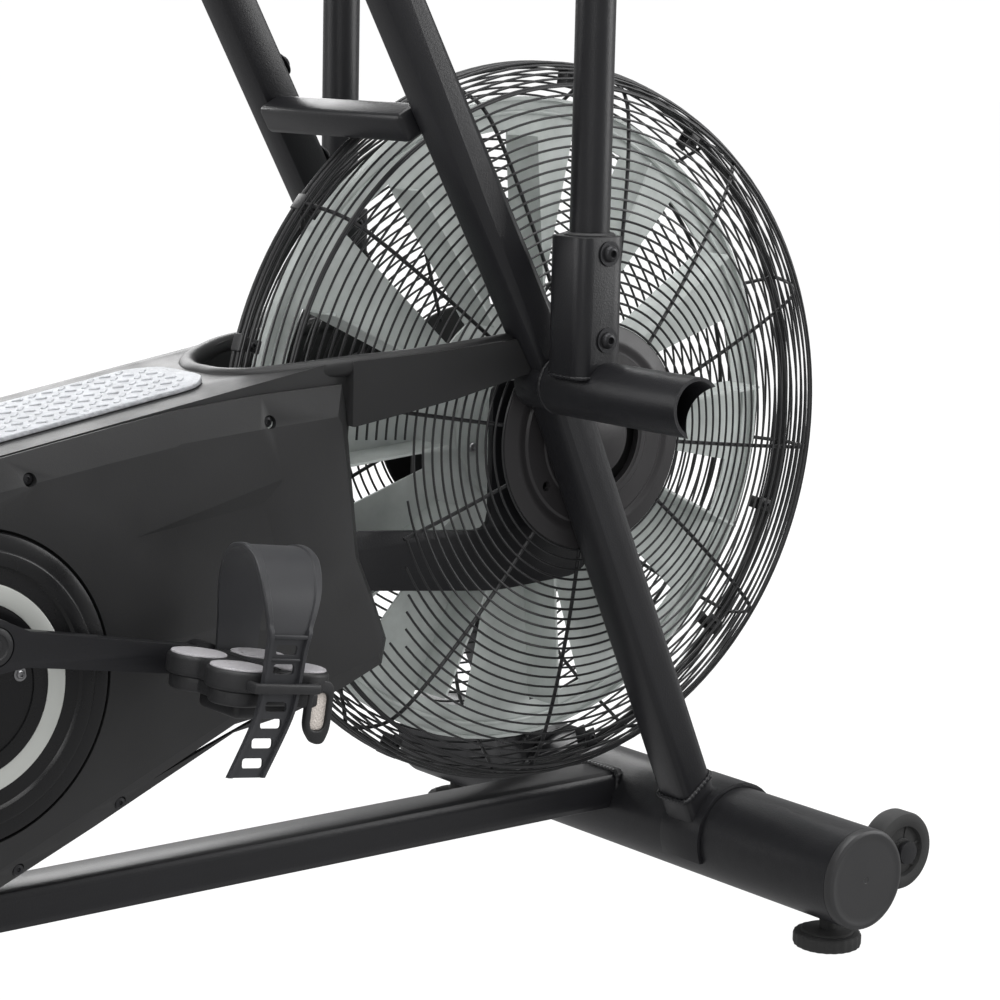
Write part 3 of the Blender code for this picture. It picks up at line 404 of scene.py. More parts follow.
def joined(objects):
    work = bmesh.new()
    for obj in objects:
        work.from_mesh(obj.data)
        bpy.data.objects.remove(obj)
    return to_object(work)


def polar(x, z, radius, degrees):
    a = math.radians(degrees)
    return x + radius * math.cos(a), z + radius * math.sin(a)


def circle(x, z, radius, count=48, start=0.0, span=360.0):
    steps = count if span >= 360.0 else count + 1
    return [polar(x, z, radius, start + span * i / count) for i in range(steps)]


def hoop(x, y, z, radius, count):
    """The points of a circle that faces along Y."""
    return [Vector((x + radius * math.cos(a), y, z + radius * math.sin(a)))
            for a in (2 * math.pi * k / count for k in range(count))]


def rounded(points, radius, count=6):
    out = []
    total = len(points)
    for i in range(total):
        here = Vector(points[i])
        back = Vector(points[i - 1]) - here
        ahead = Vector(points[(i + 1) % total]) - here
        reach = min(radius, back.length * 0.45, ahead.length * 0.45)
        first = here + back.normalized() * reach
        last = here + ahead.normalized() * reach
        for k in range(count + 1):
            t = k / count
            spot = first * (1 - t) ** 2 + here * 2 * t * (1 - t) + last * t ** 2
            out.append((spot.x, spot.y))
    return out


def smooth_path(points, per=8):
    """A Catmull-Rom curve through points of any dimension."""
    pts = [Vector(p) for p in points]
    out = []
    for i in range(len(pts) - 1):
        p0, p1 = pts[max(i - 1, 0)], pts[i]
        p2, p3 = pts[i + 1], pts[min(i + 2, len(pts) - 1)]
        for k in range(per):
            t = k / per
            out.append(0.5 * ((2 * p1) + (p2 - p0) * t + (2 * p0 - 5 * p1 + 4 * p2 - p3) * t * t
                              + (3 * p1 - 3 * p2 + p3 - p0) * t ** 3))
    out.append(pts[-1])
    return out


# ---- small fittings ----
def dome_bolt(name, centre, axis, radius, body, slot="steel", mat="black_bolt", washer=True):
    """A button-head socket bolt on a washer."""
    r = radius
    rings = []
    base = 0.0
    if washer:
        base = 0.0012
        rings.append(lathe([(0.0, 0.0), (1.45 * r, 0.0), (1.5 * r, 0.0004), (1.5 * r, base), (0.0, base)],
                           centre, axis, 32))
    head = [(0.0, base), (r, base), (r, base + 0.15 * r), (0.93 * r, base + 0.38 * r),
            (0.72 * r, base + 0.58 * r), (0.48 * r, base + 0.64 * r), (0.44 * r, base + 0.62 * r),
            (0.42 * r, base + 0.15 * r), (0.0, base + 0.12 * r)]
    rings.append(lathe(head, centre, axis, 24))
    return keep(joined(rings), name, body, slot, mat)


def hex_nut(name, centre, axis, radius, height, body, slot="steel", mat="zinc"):
    """A hexagon head with a chamfered top on a washer."""
    side, other, along = basis(axis)
    centre = Vector(centre)
    verts, faces = [], []
    for r, h in ((1.0, 0.0012), (1.0, height * 0.8), (0.86, height)):
        for k in range(6):
            a = math.pi / 3 * k
            verts.append(centre + along * h + (side * math.cos(a) + other * math.sin(a)) * radius * r)
    for row in range(2):
        bridge(faces, row * 6, row * 6 + 6, 6)
    faces += [tuple(range(12, 18)), tuple(range(5, -1, -1))]
    washer = lathe([(0.0, 0.0), (1.5 * radius, 0.0), (1.5 * radius, 0.0012), (0.0, 0.0012)],
                   centre, axis, 32)
    return keep(joined([from_data(verts, faces), washer]), name, body, slot, mat)


def weld_bead(name, points, radius, body, closed=True, pitch=0.0042):
    """A row of overlapping weld ripples laid along a line."""
    pts = [Vector(p) for p in points]
    if closed:
        pts.append(pts[0])
    dense, radii, run = [], [], 0.0
    for a, b in zip(pts, pts[1:]):
        length = (b - a).length
        count = max(1, round(length / 0.0011))
        for k in range(count):
            dense.append(a.lerp(b, k / count))
            radii.append(radius * (0.80 + 0.22 * abs(math.sin(math.pi * (run + length * k / count) / pitch))))
        run += length
    if not closed:
        dense.append(pts[-1])
        radii.append(radius * 0.7)
    return keep(sweep(dense, radii, 8, closed), name, body, "frame_black", "coat", degrees=60)


def square_ring(half_a, half_b, corner, to_point, count=5):
    """A rounded rectangle's points, each mapped by to_point(a, b)."""
    corners = [(half_a, half_b), (-half_a, half_b), (-half_a, -half_b), (half_a, -half_b)]
    return [to_point(a, b) for a, b in rounded(corners, corner, count)]


# ---- CAD nodes that stay: weld, round the edges, material ----
def dress(name, mat, bevel):
    obj = NODES[name]
    obj.data.materials.clear()
    obj.data.materials.append(M[mat])
    for poly in obj.data.polygons:
        poly.material_index = 0
    if bevel > 0.0:
        for poly in obj.data.polygons:
            poly.use_smooth = True
        weld = obj.modifiers.new("weld", "WELD")
        weld.merge_threshold = 0.00002
        mod = obj.modifiers.new("round", "BEVEL")
        mod.width = bevel
        mod.segments = 3
        mod.limit_method = "ANGLE"
        mod.angle_limit = math.radians(38.0)
        mod.harden_normals = True
        mod.use_clamp_overlap = True


DRESS = {
    "main_beam": ("coat", 0.0012), "crossbar": ("coat", 0.0012), "console_mast": ("coat", 0.0008),
    "centre_frame": ("coat", 0.0008), "fan_rotor": ("web", 0.0), "crank_axle": ("zinc", 0.0008),
    "jack_pulley": ("zinc", 0.0006), "drive_belt": ("belt", 0.0006), "fan_belt": ("belt", 0.0006),
    "belly_shell": ("moulded", 0.0006), "top_shell": ("shell", 0.0030), "tread_insert": ("tread", 0.0010),
    "seat_tube": ("coat", 0.0010), "seat_post": ("chrome", 0.0008), "saddle_slider": ("coat", 0.0012),
    "console": ("moulded", 0.0008), "console_screen": ("display", 0.0003),
    "button_left": ("key", 0.0005), "button_centre": ("key", 0.0005), "button_right": ("key", 0.0005),
}
for side in SIDES.values():
    for name, bevel in (("fork_", 0.0012), ("axle_bracket_", 0.0006), ("wheel_bracket_", 0.0006),
                        ("crank_arm_", 0.0016)):
        DRESS[name + side] = ("coat", bevel)
for name, (mat, bevel) in DRESS.items():
    dress(name, mat, bevel)


# ---- base: stabiliser tubes, caps, feet, wheels ----
def turned_tube(name, x, z, radius, half):
    bore = radius - 0.003
    profile = [(radius, -half), (radius, half), (bore, half), (bore, -half)]
    tube = lathe(profile, (x, 0.0, z), (0, 1, 0), 96, ring=True)
    keep(tube, name + "_tube", "frame", "frame_black", "coat", [name])


def end_cap(name, s, x, z, radius, half):
    t = 0.008
    profile = [(0.0, 0.0004), (radius, 0.0004), (radius, t - 0.0032), (radius - 0.0009, t - 0.0012),
               (radius - 0.0030, t - 0.0002), (radius - 0.0046, t), (radius - 0.0060, t - 0.0006),
               (radius - 0.0110, t - 0.0007), (0.003, t - 0.0007), (0.0026, t - 0.0010), (0.0, t - 0.0010)]
    cap = lathe(profile, (x, s * half, z), (0, s, 0), 96)
    # the cap's lighter finish is painted light
    keep(cap, name + "_moulding", "frame", "plastic_black", "lit_capping", [name])


def levelling_foot(name, s, x, y, body):
    profile = [(0.0, 0.0235), (0.0070, 0.0235), (0.0070, 0.0146), (0.0212, 0.0142), (0.0222, 0.0134),
               (0.0224, 0.0122), (0.0268, 0.0118), (0.0281, 0.0108), (0.0285, 0.0094), (0.0285, 0.0024),
               (0.0280, 0.0008), (0.0266, 0.0), (0.0190, 0.0), (0.0180, 0.0012), (0.0, 0.0012)]
    foot = lathe(profile, (x, s * y, 0.0), (0, 0, 1), 96, lobes=24, lobe=0.012, reach=0.0265)
    keep(foot, name + "_pad", body, "rubber", "rubber", [name])


def wheel(name, s):
    half = 0.011
    x, y, z = 0.211, 0.257, 0.070
    near = [(0.0073, half - 0.001), (0.0105, half - 0.001), (0.0112, half - 0.0040), (0.0212, half - 0.0046),
            (0.0222, half - 0.0008), (0.0250, half), (0.0300, half), (0.0328, half - 0.0014),
            (0.0340, half - 0.0038)]
    parts = [lathe(near + [(r, -h) for r, h in reversed(near)], (x, s * y, z), (0, s, 0), 72, ring=True)]
    for degrees in range(15, 375, 60):
        rib_x, rib_z = polar(x, z, 0.0162, degrees)
        parts.append(box((0.0120, 0.0150, 0.0022), (rib_x, s * y, rib_z), (0, -degrees, 0), 0.0005, 2))
    dome_bolt(name + "_bolt", (x, s * (y + half + 0.0004), z), (0, s, 0), 0.0062, "frame", mat="zinc",
              washer=False)
    keep(joined(parts), name + "_tyre", "wheel_r" if s < 0 else "wheel_l", "rubber", "rubber", [name])


TUBES = {"front": (0.132, 0.067, 0.043, 0.292), "rear": (-0.915, 0.060, 0.036, 0.250)}   # x, z, radius, half
for end, tube in TUBES.items():
    turned_tube(end + "_stabiliser", *tube)
for s in (-1, 1):
    side = SIDES[s]
    for end, tube in TUBES.items():
        end_cap(f"{end}_cap_{side}", s, *tube)
    for end, y in (("front", 0.257), ("rear", 0.220)):
        levelling_foot(f"foot_{end}_{side}", s, TUBES[end][0], y, "foot_" + end[0] + side[0])
    wheel("transport_wheel_" + side, s)


# ---- cage: concentric and radial wires, joint rings, centre plate, clips ----
FAN_Z = 0.4226
CAGE = {
    -1: [(0.3100, 0.0010), (0.3100, 0.0160), (0.2930, 0.0540), (0.2500, 0.0715), (0.1700, 0.0845),
         (0.0900, 0.0900)],
    1: [(0.3100, 0.0010), (0.3000, 0.0120), (0.2700, 0.0460), (0.2400, 0.0660), (0.1700, 0.0830),
        (0.0900, 0.0900)],
}
RADIALS = [-7.0, 22.2, 50.5, 78.8, 109.5, 140.8, 170.5, 201.0, 232.0, 264.5, 292.5, 321.4]
CLIPS = [-18.6, 53.6, 83.0, 140.7, 163.9, 242.0, 285.0, 318.0]
WIRE_STEP = 0.0086
WIRE_R = 0.00105
RIM_LIMIT = 0.3095      # no wire's outside reaches past this radius
SECOND_RING = {-1: (0.2905, 0.0530), 1: (0.2690, 0.0440)}   # radius and depth of the inner heavy ring


def in_notch(p):
    return -0.381 < p.x < -0.187 and 0.270 < p.z < 0.432


def runs(points, closed):
    """Splits a wire into the stretches that lie outside the opening for the housing."""
    out, now = [], []
    for p in points:
        if in_notch(p):
            if len(now) > 1:
                out.append(now)
            now = []
        else:
            now.append(p)
    if len(now) > 1:
        out.append(now)
    if closed and len(out) > 1 and not in_notch(points[0]) and not in_notch(points[-1]):
        out[0] = out.pop() + out[0]
    return out


def add_ring(out, radius, y, wire, sides=6, count=120):
    points = hoop(0.0, y, FAN_Z, radius, count)
    parts = runs(points, True)
    if len(parts) == 1 and len(parts[0]) == count:
        sweep(points, wire, sides, True, out=out)
        return
    for part in parts:
        sweep(part, wire, sides, False, out=out)


def build_cage(s):
    side = SIDES[s]
    line = smooth_path(CAGE[s], 10)
    fine = ([], [])
    run, last, target = 0.0, line[0], WIRE_STEP
    for p in line[1:]:
        length = (p - last).length
        while run + length >= target:
            spot = last.lerp(p, (target - run) / length)
            add_ring(fine, min(spot.x, RIM_LIMIT) - WIRE_R, s * (spot.y - WIRE_R), WIRE_R)
            target += WIRE_STEP
        run += length
        last = p
    heavy = ([], [])
    add_ring(heavy, 0.3072, s * 0.0034, 0.0024, 8, 144)
    radius, depth = SECOND_RING[s]
    add_ring(heavy, radius, s * depth, 0.0019, 8, 144)
    for degrees in RADIALS:
        points = []
        for q in line:
            x, z = polar(0.0, FAN_Z, q.x - 0.0036, degrees)
            points.append(Vector((x, s * max(q.y - 0.0034, 0.001), z)))
        for part in runs(points, False):
            sweep(part, 0.0017, 8, False, out=heavy)
    keep(from_data(*fine), "cage_wires_" + side, "frame", "wire_black", "wire", ["cage_" + side])
    keep(from_data(*heavy), "cage_spokes_" + side, "frame", "wire_black", "wire")
    plate = [(0.0, 0.0862), (0.0935, 0.0862), (0.0950, 0.0872), (0.0950, 0.0886), (0.0935, 0.0896),
             (0.0860, 0.0900), (0.0835, 0.0912), (0.0790, 0.0914), (0.0770, 0.0904), (0.0745, 0.0904),
             (0.0725, 0.0920), (0.0560, 0.0924), (0.0545, 0.0934), (0.0500, 0.0935), (0.0485, 0.0926),
             (0.0300, 0.0926), (0.0285, 0.0935), (0.0, 0.0935)]
    disc = lathe(plate, (0.0, 0.0, FAN_Z), (0, s, 0), 120)
    slot_ring = circle(0.0, FAN_Z, 0.0470, 14, -60.0, 70.0) + circle(0.0, FAN_Z, 0.0340, 14, 10.0, -70.0)
    holes = [slot_ring]
    for x, z in ((0.016, 0.370), (-0.052, 0.385), (0.0, FAN_Z + 0.062)):
        holes.append(circle(x, z, 0.0042, 24))
    carve(disc, [flat([hole], s * 0.080, s * 0.099) for hole in holes])
    keep(disc, "cage_plate_" + side, "frame", "wire_black", "plate")
    if s < 0:   # on the left the fan's pulley is behind the slot; this near-black disc stands for it, with painted shade in its colour
        back = lathe([(0.0, 0.0790), (0.0640, 0.0790), (0.0650, 0.0800), (0.0640, 0.0810), (0.0, 0.0810)],
                     (0.0, 0.0, FAN_Z), (0, s, 0), 72)
        keep(back, "cage_hub_back_" + side, "frame", "wire_black", "gap")


def cage_clip(index, degrees):
    """A folded clip over the two joint rings, closed by a small screw."""
    x, z = polar(0.0, FAN_Z, 0.3078, degrees)
    if in_notch(Vector((x, 0.0, z))):
        return
    parts = [box((0.0044, 0.0130, 0.0150), (x, 0.0, z), (0, -degrees, 0), 0.0012, 3)]
    x, z = polar(0.0, FAN_Z, 0.2990, degrees)
    for y in (-0.0066, 0.0066):
        parts.append(box((0.0150, 0.0022, 0.0110), (x, y, z), (0, -degrees, 0), 0.0008, 2))
    keep(joined(parts), f"cage_clip_{index}", "frame", "wire_black", "wire")
    dome_bolt(f"cage_clip_screw_{index}", (x, -0.0077, z), (0, -1, 0), 0.0036, "frame", washer=False)


for s in (-1, 1):
    build_cage(s)
for i, degrees in enumerate(CLIPS):
    cage_clip(i, degrees)


# ---- fan: rolled beads in the web and rivets round the hub ----
def fan_details():
    beads = ([], [])
    for radius in (0.266, 0.068):
        sweep(hoop(0.0, 0.0096, FAN_Z, radius, 120), 0.0018, 8, True, out=beads)
    keep(from_data(*beads), "fan_beads", "fan", "fan_grey", "web")
    for k in range(6):
        x, z = polar(0.0, FAN_Z, 0.054, 60 * k + 20)
        dome_bolt(f"fan_rivet_{k}", (x, 0.0108, z), (0, -1, 0), 0.0045, "fan", mat="zinc", washer=False)


fan_details()


# ---- housing: side covers, disc covers, trim, screws ----
COVER = [
    (-0.2585, 0.4825), (-0.334, 0.4790), (-0.404, 0.4725), (-0.4115, 0.4715), (-0.456, 0.4645),
    (-0.506, 0.4560), (-0.5545, 0.4475), (-0.640, 0.4325), (-0.740, 0.4140), (-0.785, 0.380),
    (-0.806, 0.300), (-0.800, 0.190), (-0.765, 0.112), (-0.610, 0.108), (-0.563, 0.128),
    (-0.480, 0.163), (-0.356, 0.218), (-0.301, 0.226), (-0.253, 0.240), (-0.216, 0.255),
    (-0.212, 0.275), (-0.225, 0.309), (-0.240, 0.343), (-0.248, 0.408), (-0.2545, 0.463),
]
INNER = [
    (-0.2680, 0.4586), (-0.340, 0.4536), (-0.4091, 0.4481), (-0.4135, 0.4462), (-0.4621, 0.4395),
    (-0.5119, 0.4318), (-0.5602, 0.4243), (-0.642, 0.4105), (-0.730, 0.3960), (-0.771, 0.372),
    (-0.792, 0.298), (-0.786, 0.196), (-0.756, 0.127), (-0.613, 0.124), (-0.571, 0.143),
    (-0.487, 0.179), (-0.360, 0.235), (-0.305, 0.242), (-0.259, 0.255), (-0.2255, 0.2635),
    (-0.2215, 0.2775), (-0.2345, 0.312), (-0.2495, 0.346), (-0.2575, 0.409), (-0.2640, 0.452),
]
DISC = (-0.589, 0.283)
DECK_SLOPE = 0.175      # rise of the top shell's deck for each metre forward
COVER_SCREWS = [(-0.5355, 0.4313), (-0.3297, 0.4585), (-0.459, 0.1795), (-0.545, 0.1425), (-0.700, 0.406),
                (-0.794, 0.240), (-0.700, 0.1165)]


def emboss(s):
    """The recess's cutter: it goes 3.7 mm deep at the front edge and 0.3 mm at the back."""
    top = [(-0.452, 0.3805), (-0.317, 0.4150), (-0.300, 0.3400), (-0.322, 0.2980), (-0.440, 0.2900)]
    deep = [0.0976, 0.0942, 0.0942, 0.0952, 0.0976]
    low = [(-0.440, 0.3660), (-0.3330, 0.3960), (-0.3170, 0.3420), (-0.334, 0.3080), (-0.432, 0.2980)]
    verts = [(x, s * 0.1040, z) for x, z in top] + [(x, s * 0.0980, z) for x, z in top]
    verts += [(x, s * y, z) for (x, z), y in zip(low, deep)]
    faces = [tuple(range(5)), tuple(range(14, 9, -1))]
    for row in range(2):
        bridge(faces, row * 5, row * 5 + 5, 5)
    made = from_data(verts, faces)
    work = bmesh.new()
    work.from_mesh(made.data)
    bmesh.ops.triangulate(work, faces=work.faces[:])
    work.to_mesh(made.data)
    work.free()
    return made


def cover_mesh(s):
    """The side cover: wall, broad chamfer and flat face, with the disc's opening."""
    total = len(COVER)
    verts = []
    for outline, y in ((COVER, 0.0862), (COVER, 0.0890), (INNER, 0.0979)):
        verts += [(x, s * y, z) for x, z in outline]
    faces = []
    for row in range(2):
        bridge(faces, row * total, (row + 1) * total, total)
    faces.append(tuple(range(2 * total, 3 * total)))
    faces.append(tuple(range(total - 1, -1, -1)))
    obj = from_data(verts, faces)
    inside = flat([[(-0.262, 0.470), (-0.420, 0.440), (-0.640, 0.402), (-0.775, 0.365), (-0.792, 0.195),
                    (-0.760, 0.125), (-0.610, 0.121), (-0.480, 0.176), (-0.300, 0.239), (-0.226, 0.262),
                    (-0.256, 0.400)]], s * 0.080, s * 0.0930)
    cutters = [inside, flat([circle(DISC[0], DISC[1], 0.1188, 96)], s * 0.07, s * 0.12)]
    for x, z in COVER_SCREWS:
        cutters.append(rod((x, s * 0.0905, z), (x, s * 0.105, z), 0.0052, 24))
    cutters.append(emboss(s))
    carve(obj, cutters)
    soften(obj, 0.0011, 14.0, 3)
    return obj


def cover_screw(name, s, x, z):
    profile = [(0.0, 0.0), (0.0046, 0.0), (0.0046, 0.0010), (0.0038, 0.0022), (0.0018, 0.0026),
               (0.0013, 0.0012), (0.0, 0.0010)]
    keep(lathe(profile, (x, s * 0.0908, z), (0, s, 0), 20), name, "frame", "steel", "black_bolt")


def disc_mesh(s):
    """The round cover over the crank: stepped rings round a dished centre."""
    profile = [(0.0, 0.0940), (0.0300, 0.0944), (0.0480, 0.0954), (0.0545, 0.0966), (0.0550, 0.0984),
               (0.0562, 0.0990), (0.0655, 0.0990), (0.0660, 0.0984), (0.0804, 0.0984), (0.0808, 0.0990),
               (0.0915, 0.0990), (0.0925, 0.1000), (0.0935, 0.1012), (0.1025, 0.1018), (0.1035, 0.1014),
               (0.1045, 0.1004), (0.1125, 0.1000), (0.1158, 0.0990), (0.1168, 0.0974), (0.1168, 0.0885),
               (0.0, 0.0885)]
    obj = lathe(profile, (DISC[0], 0.0, DISC[1]), (0, s, 0), 144)
    carve(obj, [rod((CRANK[0], s * 0.07, CRANK[1]), (CRANK[0], s * 0.12, CRANK[1]), 0.0130, 48)])
    return obj


def build_housing(s):
    side = SIDES[s]
    keep(cover_mesh(s), "side_panel_" + side, "frame", "plastic_black", "panel", ["side_cover_" + side],
         degrees=25)
    keep(disc_mesh(s), "disc_panel_" + side, "frame", "plastic_black", "gloss", ["disc_cover_" + side],
         degrees=30)
    trim = [(0.0662, 0.0985), (0.0662, 0.0990), (0.0670, 0.0993), (0.0794, 0.0993), (0.0802, 0.0990),
            (0.0802, 0.0985)]
    gap = [(0.1158, 0.0866), (0.1196, 0.0866), (0.1196, 0.0900), (0.1158, 0.0900)]
    for name, profile, steps, mat in (("trim", trim, 144, "silver"), ("gap", gap, 96, "gap")):
        keep(lathe(profile, (DISC[0], 0.0, DISC[1]), (0, s, 0), steps, ring=True), f"disc_{name}_{side}",
             "frame", "plastic_black", mat)
    for i, (x, z) in enumerate(COVER_SCREWS):
        cover_screw(f"cover_screw_{side}_{i}", s, x, z)
    for i, degrees in enumerate((8.3, 128.3, 248.3)):
        x, z = polar(*DISC, 0.0458, degrees)
        dome_bolt(f"disc_screw_{side}_{i}", (x, s * 0.0946, z), (0, s, 0), 0.0034, "frame", mat="zinc")


for s in (-1, 1):
    build_housing(s)


def build_shell_lip():
    """A rounded lip round the opening where the cage meets the top shell."""
    half = [(-0.104, 0.1040), (-0.150, 0.1005), (-0.200, 0.0950), (-0.250, 0.0862), (-0.287, 0.0690),
            (-0.3135, 0.0470), (-0.3260, 0.0210)]

    def top(x):
        if x < -0.262:
            return 0.430 + DECK_SLOPE * (x + 0.66)
        if x < -0.180:
            return 0.49965 + (0.505 - 0.49965) * (x + 0.262) / 0.082
        return 0.505 + 0.010 * (x + 0.180) / 0.095

    plan = half + [(-0.3275, 0.0)] + [(x, -y) for x, y in reversed(half)]
    points = [Vector((x, y, top(x) - 0.0042)) for x, y in plan]
    lip = sweep(smooth_path(points, 6), 0.0080, 16)
    keep(lip, "shell_lip", "frame", "plastic_black", "shell", degrees=60)


build_shell_lip()


def build_tread_studs():
    """Rows of raised studs moulded on the step pad."""
    lean = math.atan(DECK_SLOPE)
    middle_x, middle_z, lift = -0.465, 0.430 + DECK_SLOPE * 0.195, 0.0046
    bits = []
    for i in range(17):
        for j in range(7):
            a = -0.108 + 0.0130 * i
            b = -0.042 + 0.0140 * j
            if a > 0.095 and abs(b) > 0.030:
                continue
            x = middle_x + a * math.cos(lean) - lift * math.sin(lean)
            z = middle_z + a * math.sin(lean) + lift * math.cos(lean)
            bits.append(box((0.0086, 0.0040, 0.0018), (x, b, z),
                            (0, -math.degrees(lean), 45 if (i + j) % 2 else -45), 0.0005, 1))
    keep(joined(bits), "tread_studs", "frame", "tread_grey", "tread")


build_tread_studs()


# ---- fork: bolts and weld beads ----
def upright_x(z):
    """Where the middle of an upright stands at height z."""
    return -0.068 - 0.55 * (z - 0.478)


def fork_details(s):
    side = SIDES[s]
    foot_dir = Vector((-0.173, 0.0, 0.393)).normalized()
    centre = Vector((0.105, s * 0.116, 0.085)) + foot_dir * 0.0335
    across = Vector((foot_dir.z, 0.0, -foot_dir.x))

    def ring_at(a, b):
        lift = 0.010 * abs(a) / 0.018
        rise = 0.6 * lift * (1 if a > 0 else -0.4)
        return centre + across * a + Vector((0, b, 0)) - foot_dir * (0.004 - rise)

    weld_bead("weld_leg_" + side, square_ring(0.0183, 0.0183, 0.006, ring_at), 0.0026, "frame")
    knee = hoop(PIVOT[0], s * 0.1345, PIVOT[1], 0.0225, 40)
    weld_bead("weld_knuckle_" + side, knee, 0.0020, "frame")
    top_z = 0.955
    mast = hoop(upright_x(top_z), s * (0.116 - 0.0172), top_z, 0.0153, 32)
    weld_bead("weld_mast_" + side, mast, 0.0020, "frame")
    front = Vector((0.876, 0.0, 0.482))
    for i, z in enumerate((0.716, 0.640)):
        spot = Vector((upright_x(z), s * 0.110, z)) + front * 0.0172
        dome_bolt(f"upright_bolt_{side}_{i}", spot, front, 0.0070, "frame")


for s in (-1, 1):
    fork_details(s)


def beam_welds():
    for x, name in ((0.132 - 0.036, "front"), (-0.915 + 0.0295, "rear")):
        ring = square_ring(0.0172, 0.0232, 0.006, lambda a, b: Vector((x, b, 0.085 + a)))
        weld_bead("weld_beam_" + name, ring, 0.0026, "frame")
    stretch = math.cos(math.radians(SEAT_LEAN))
    ring = square_ring(0.0258, 0.0203, 0.006, lambda a, b: Vector((-0.6605 + a / stretch, b, 0.1030)))
    weld_bead("weld_seat_tube", ring, 0.0026, "frame")
    ring = square_ring(0.0163, 0.0163, 0.003, lambda a, b: Vector((CRANK[0] + a, b, 0.1030)))
    weld_bead("weld_crank_post", ring, 0.0022, "frame")


beam_welds()


# ---- levers ----
def bend(points, radius, count=14):
    points = [Vector(p) for p in points]
    out = [points[0]]
    for i in range(1, len(points) - 1):
        here = points[i]
        back = points[i - 1] - here
        ahead = points[i + 1] - here
        reach = min(radius, back.length * 0.48, ahead.length * 0.48)
        first = here + back.normalized() * reach
        last = here + ahead.normalized() * reach
        for k in range(count + 1):
            t = k / count
            out.append(first * (1 - t) ** 2 + here * 2 * t * (1 - t) + last * t ** 2)
    out.append(points[-1])
    return out


SOCKET_X = -0.0825      # middle of the lever's square socket
SOCKET_LOW, SOCKET_TOP = 0.4885, 0.5990


def pivot_rod(s, start, end, radius, sides):
    """A rod on the levers' pivot axis."""
    return rod((PIVOT[0], s * start, PIVOT[1]), (PIVOT[0], s * end, PIVOT[1]), radius, sides)


def build_lever(s):
    side = SIDES[s]
    body = "lever_" + side[0]
    x, y = -0.080, s * 0.171
    path = bend([(x, y, 0.508), (x, y, 1.000), (x - 0.060, s * 0.190, 1.140), (x - 0.150, s * 0.205, 1.215),
                 (x - 0.330, s * 0.205, 1.240)], 0.06)
    keep(sweep(path, 0.0160, 40), "lever_tube_" + side, body, "frame_black", "coat", ["lever_" + side],
         degrees=50)
    end = path[-1]
    run = (end - path[-2]).normalized()
    start = end - run * 0.112
    low, high, rows = 0.0034, 0.1100, 30
    skin = [(0.0164, 0.0), (0.0186, 0.0002), (0.0197, 0.0014), (0.0200, low)]
    skin += [(0.0200 - (0.0004 if k % 3 == 0 else 0.0), low + (high - low) * k / rows)
             for k in range(1, rows)]
    skin += [(0.0200, high), (0.0198, 0.1140), (0.0188, 0.1166), (0.0160, 0.1178), (0.0, 0.1180),
             (0.0, 0.1130), (0.0164, 0.1130)]
    grip = lathe(skin, start, run, 56)
    keep(grip, "grip_foam_" + side, body, "foam", "foam", ["grip_" + side], degrees=45)
    ring = [(0.0161, 0.0), (0.0190, 0.0), (0.0192, 0.0040), (0.0186, 0.0056), (0.0161, 0.0056)]
    keep(lathe(ring, start - run * 0.0060, run, 48, ring=True), "grip_ring_" + side, body, "plastic_black",
         "moulded")
    collar = [(0.0162, 0.0), (0.0205, 0.0), (0.0205, 0.0010), (0.0190, 0.0024), (0.0162, 0.0026)]
    keep(lathe(collar, (x, y, SOCKET_TOP), (0, 0, 1), 48, ring=True), "socket_collar_" + side, body,
         "plastic_black", "moulded")
    for i, z in enumerate((0.586, 0.518)):
        dome_bolt(f"socket_bolt_{side}_{i}", (-0.0785, s * 0.1936, z), (0, s, 0), 0.0066, body)
        dome_bolt(f"socket_bolt_in_{side}_{i}", (-0.0785, s * 0.1484, z), (0, -s, 0), 0.0066, body)
    half = 0.0225
    plan = rounded([(SOCKET_X + a * half, y + b * half) for a, b in ((-1, -1), (1, -1), (1, 1), (-1, 1))],
                   0.0125, 8)
    sleeve = pivot_rod(s, 0.1375, 0.297, 0.024, 80)
    carve(sleeve, [flat([plan], SOCKET_LOW, SOCKET_TOP, 0.0009, 2, "xy")], "UNION")
    carve(sleeve, [pivot_rod(s, 0.13, 0.205, 0.0103, 48), pivot_rod(s, 0.205, 0.32, 0.0210, 64),
                   rod((x, y, 0.5075), (x, y, 0.70), 0.0163, 48),
                   rod((-0.1566, s * 0.4146, 0.4841), (0.0066, s * 0.2418, 0.4509), 0.030, 96)])
    keep(sleeve, "lever_hub_body_" + side, body, "frame_black", "coat", ["lever_hub_" + side], degrees=30)
    foot = square_ring(0.0223, 0.0223, 0.0120, lambda a, b: Vector((SOCKET_X + a, y + b, SOCKET_LOW)), 7)
    weld_bead("weld_socket_" + side, foot, 0.0016, body)
    hex_nut("pivot_nut_" + side, (PIVOT[0], s * 0.1955, PIVOT[1]), (0, s, 0), 0.0105, 0.0080, body)


for s in (-1, 1):
    build_lever(s)


# ---- cranks and pedals ----
PEDALS = {-1: (-0.4118, 0.2905), 1: (-0.7582, 0.3535)}
PEDAL_MID = 0.191
PEDAL_TILT = 8.0


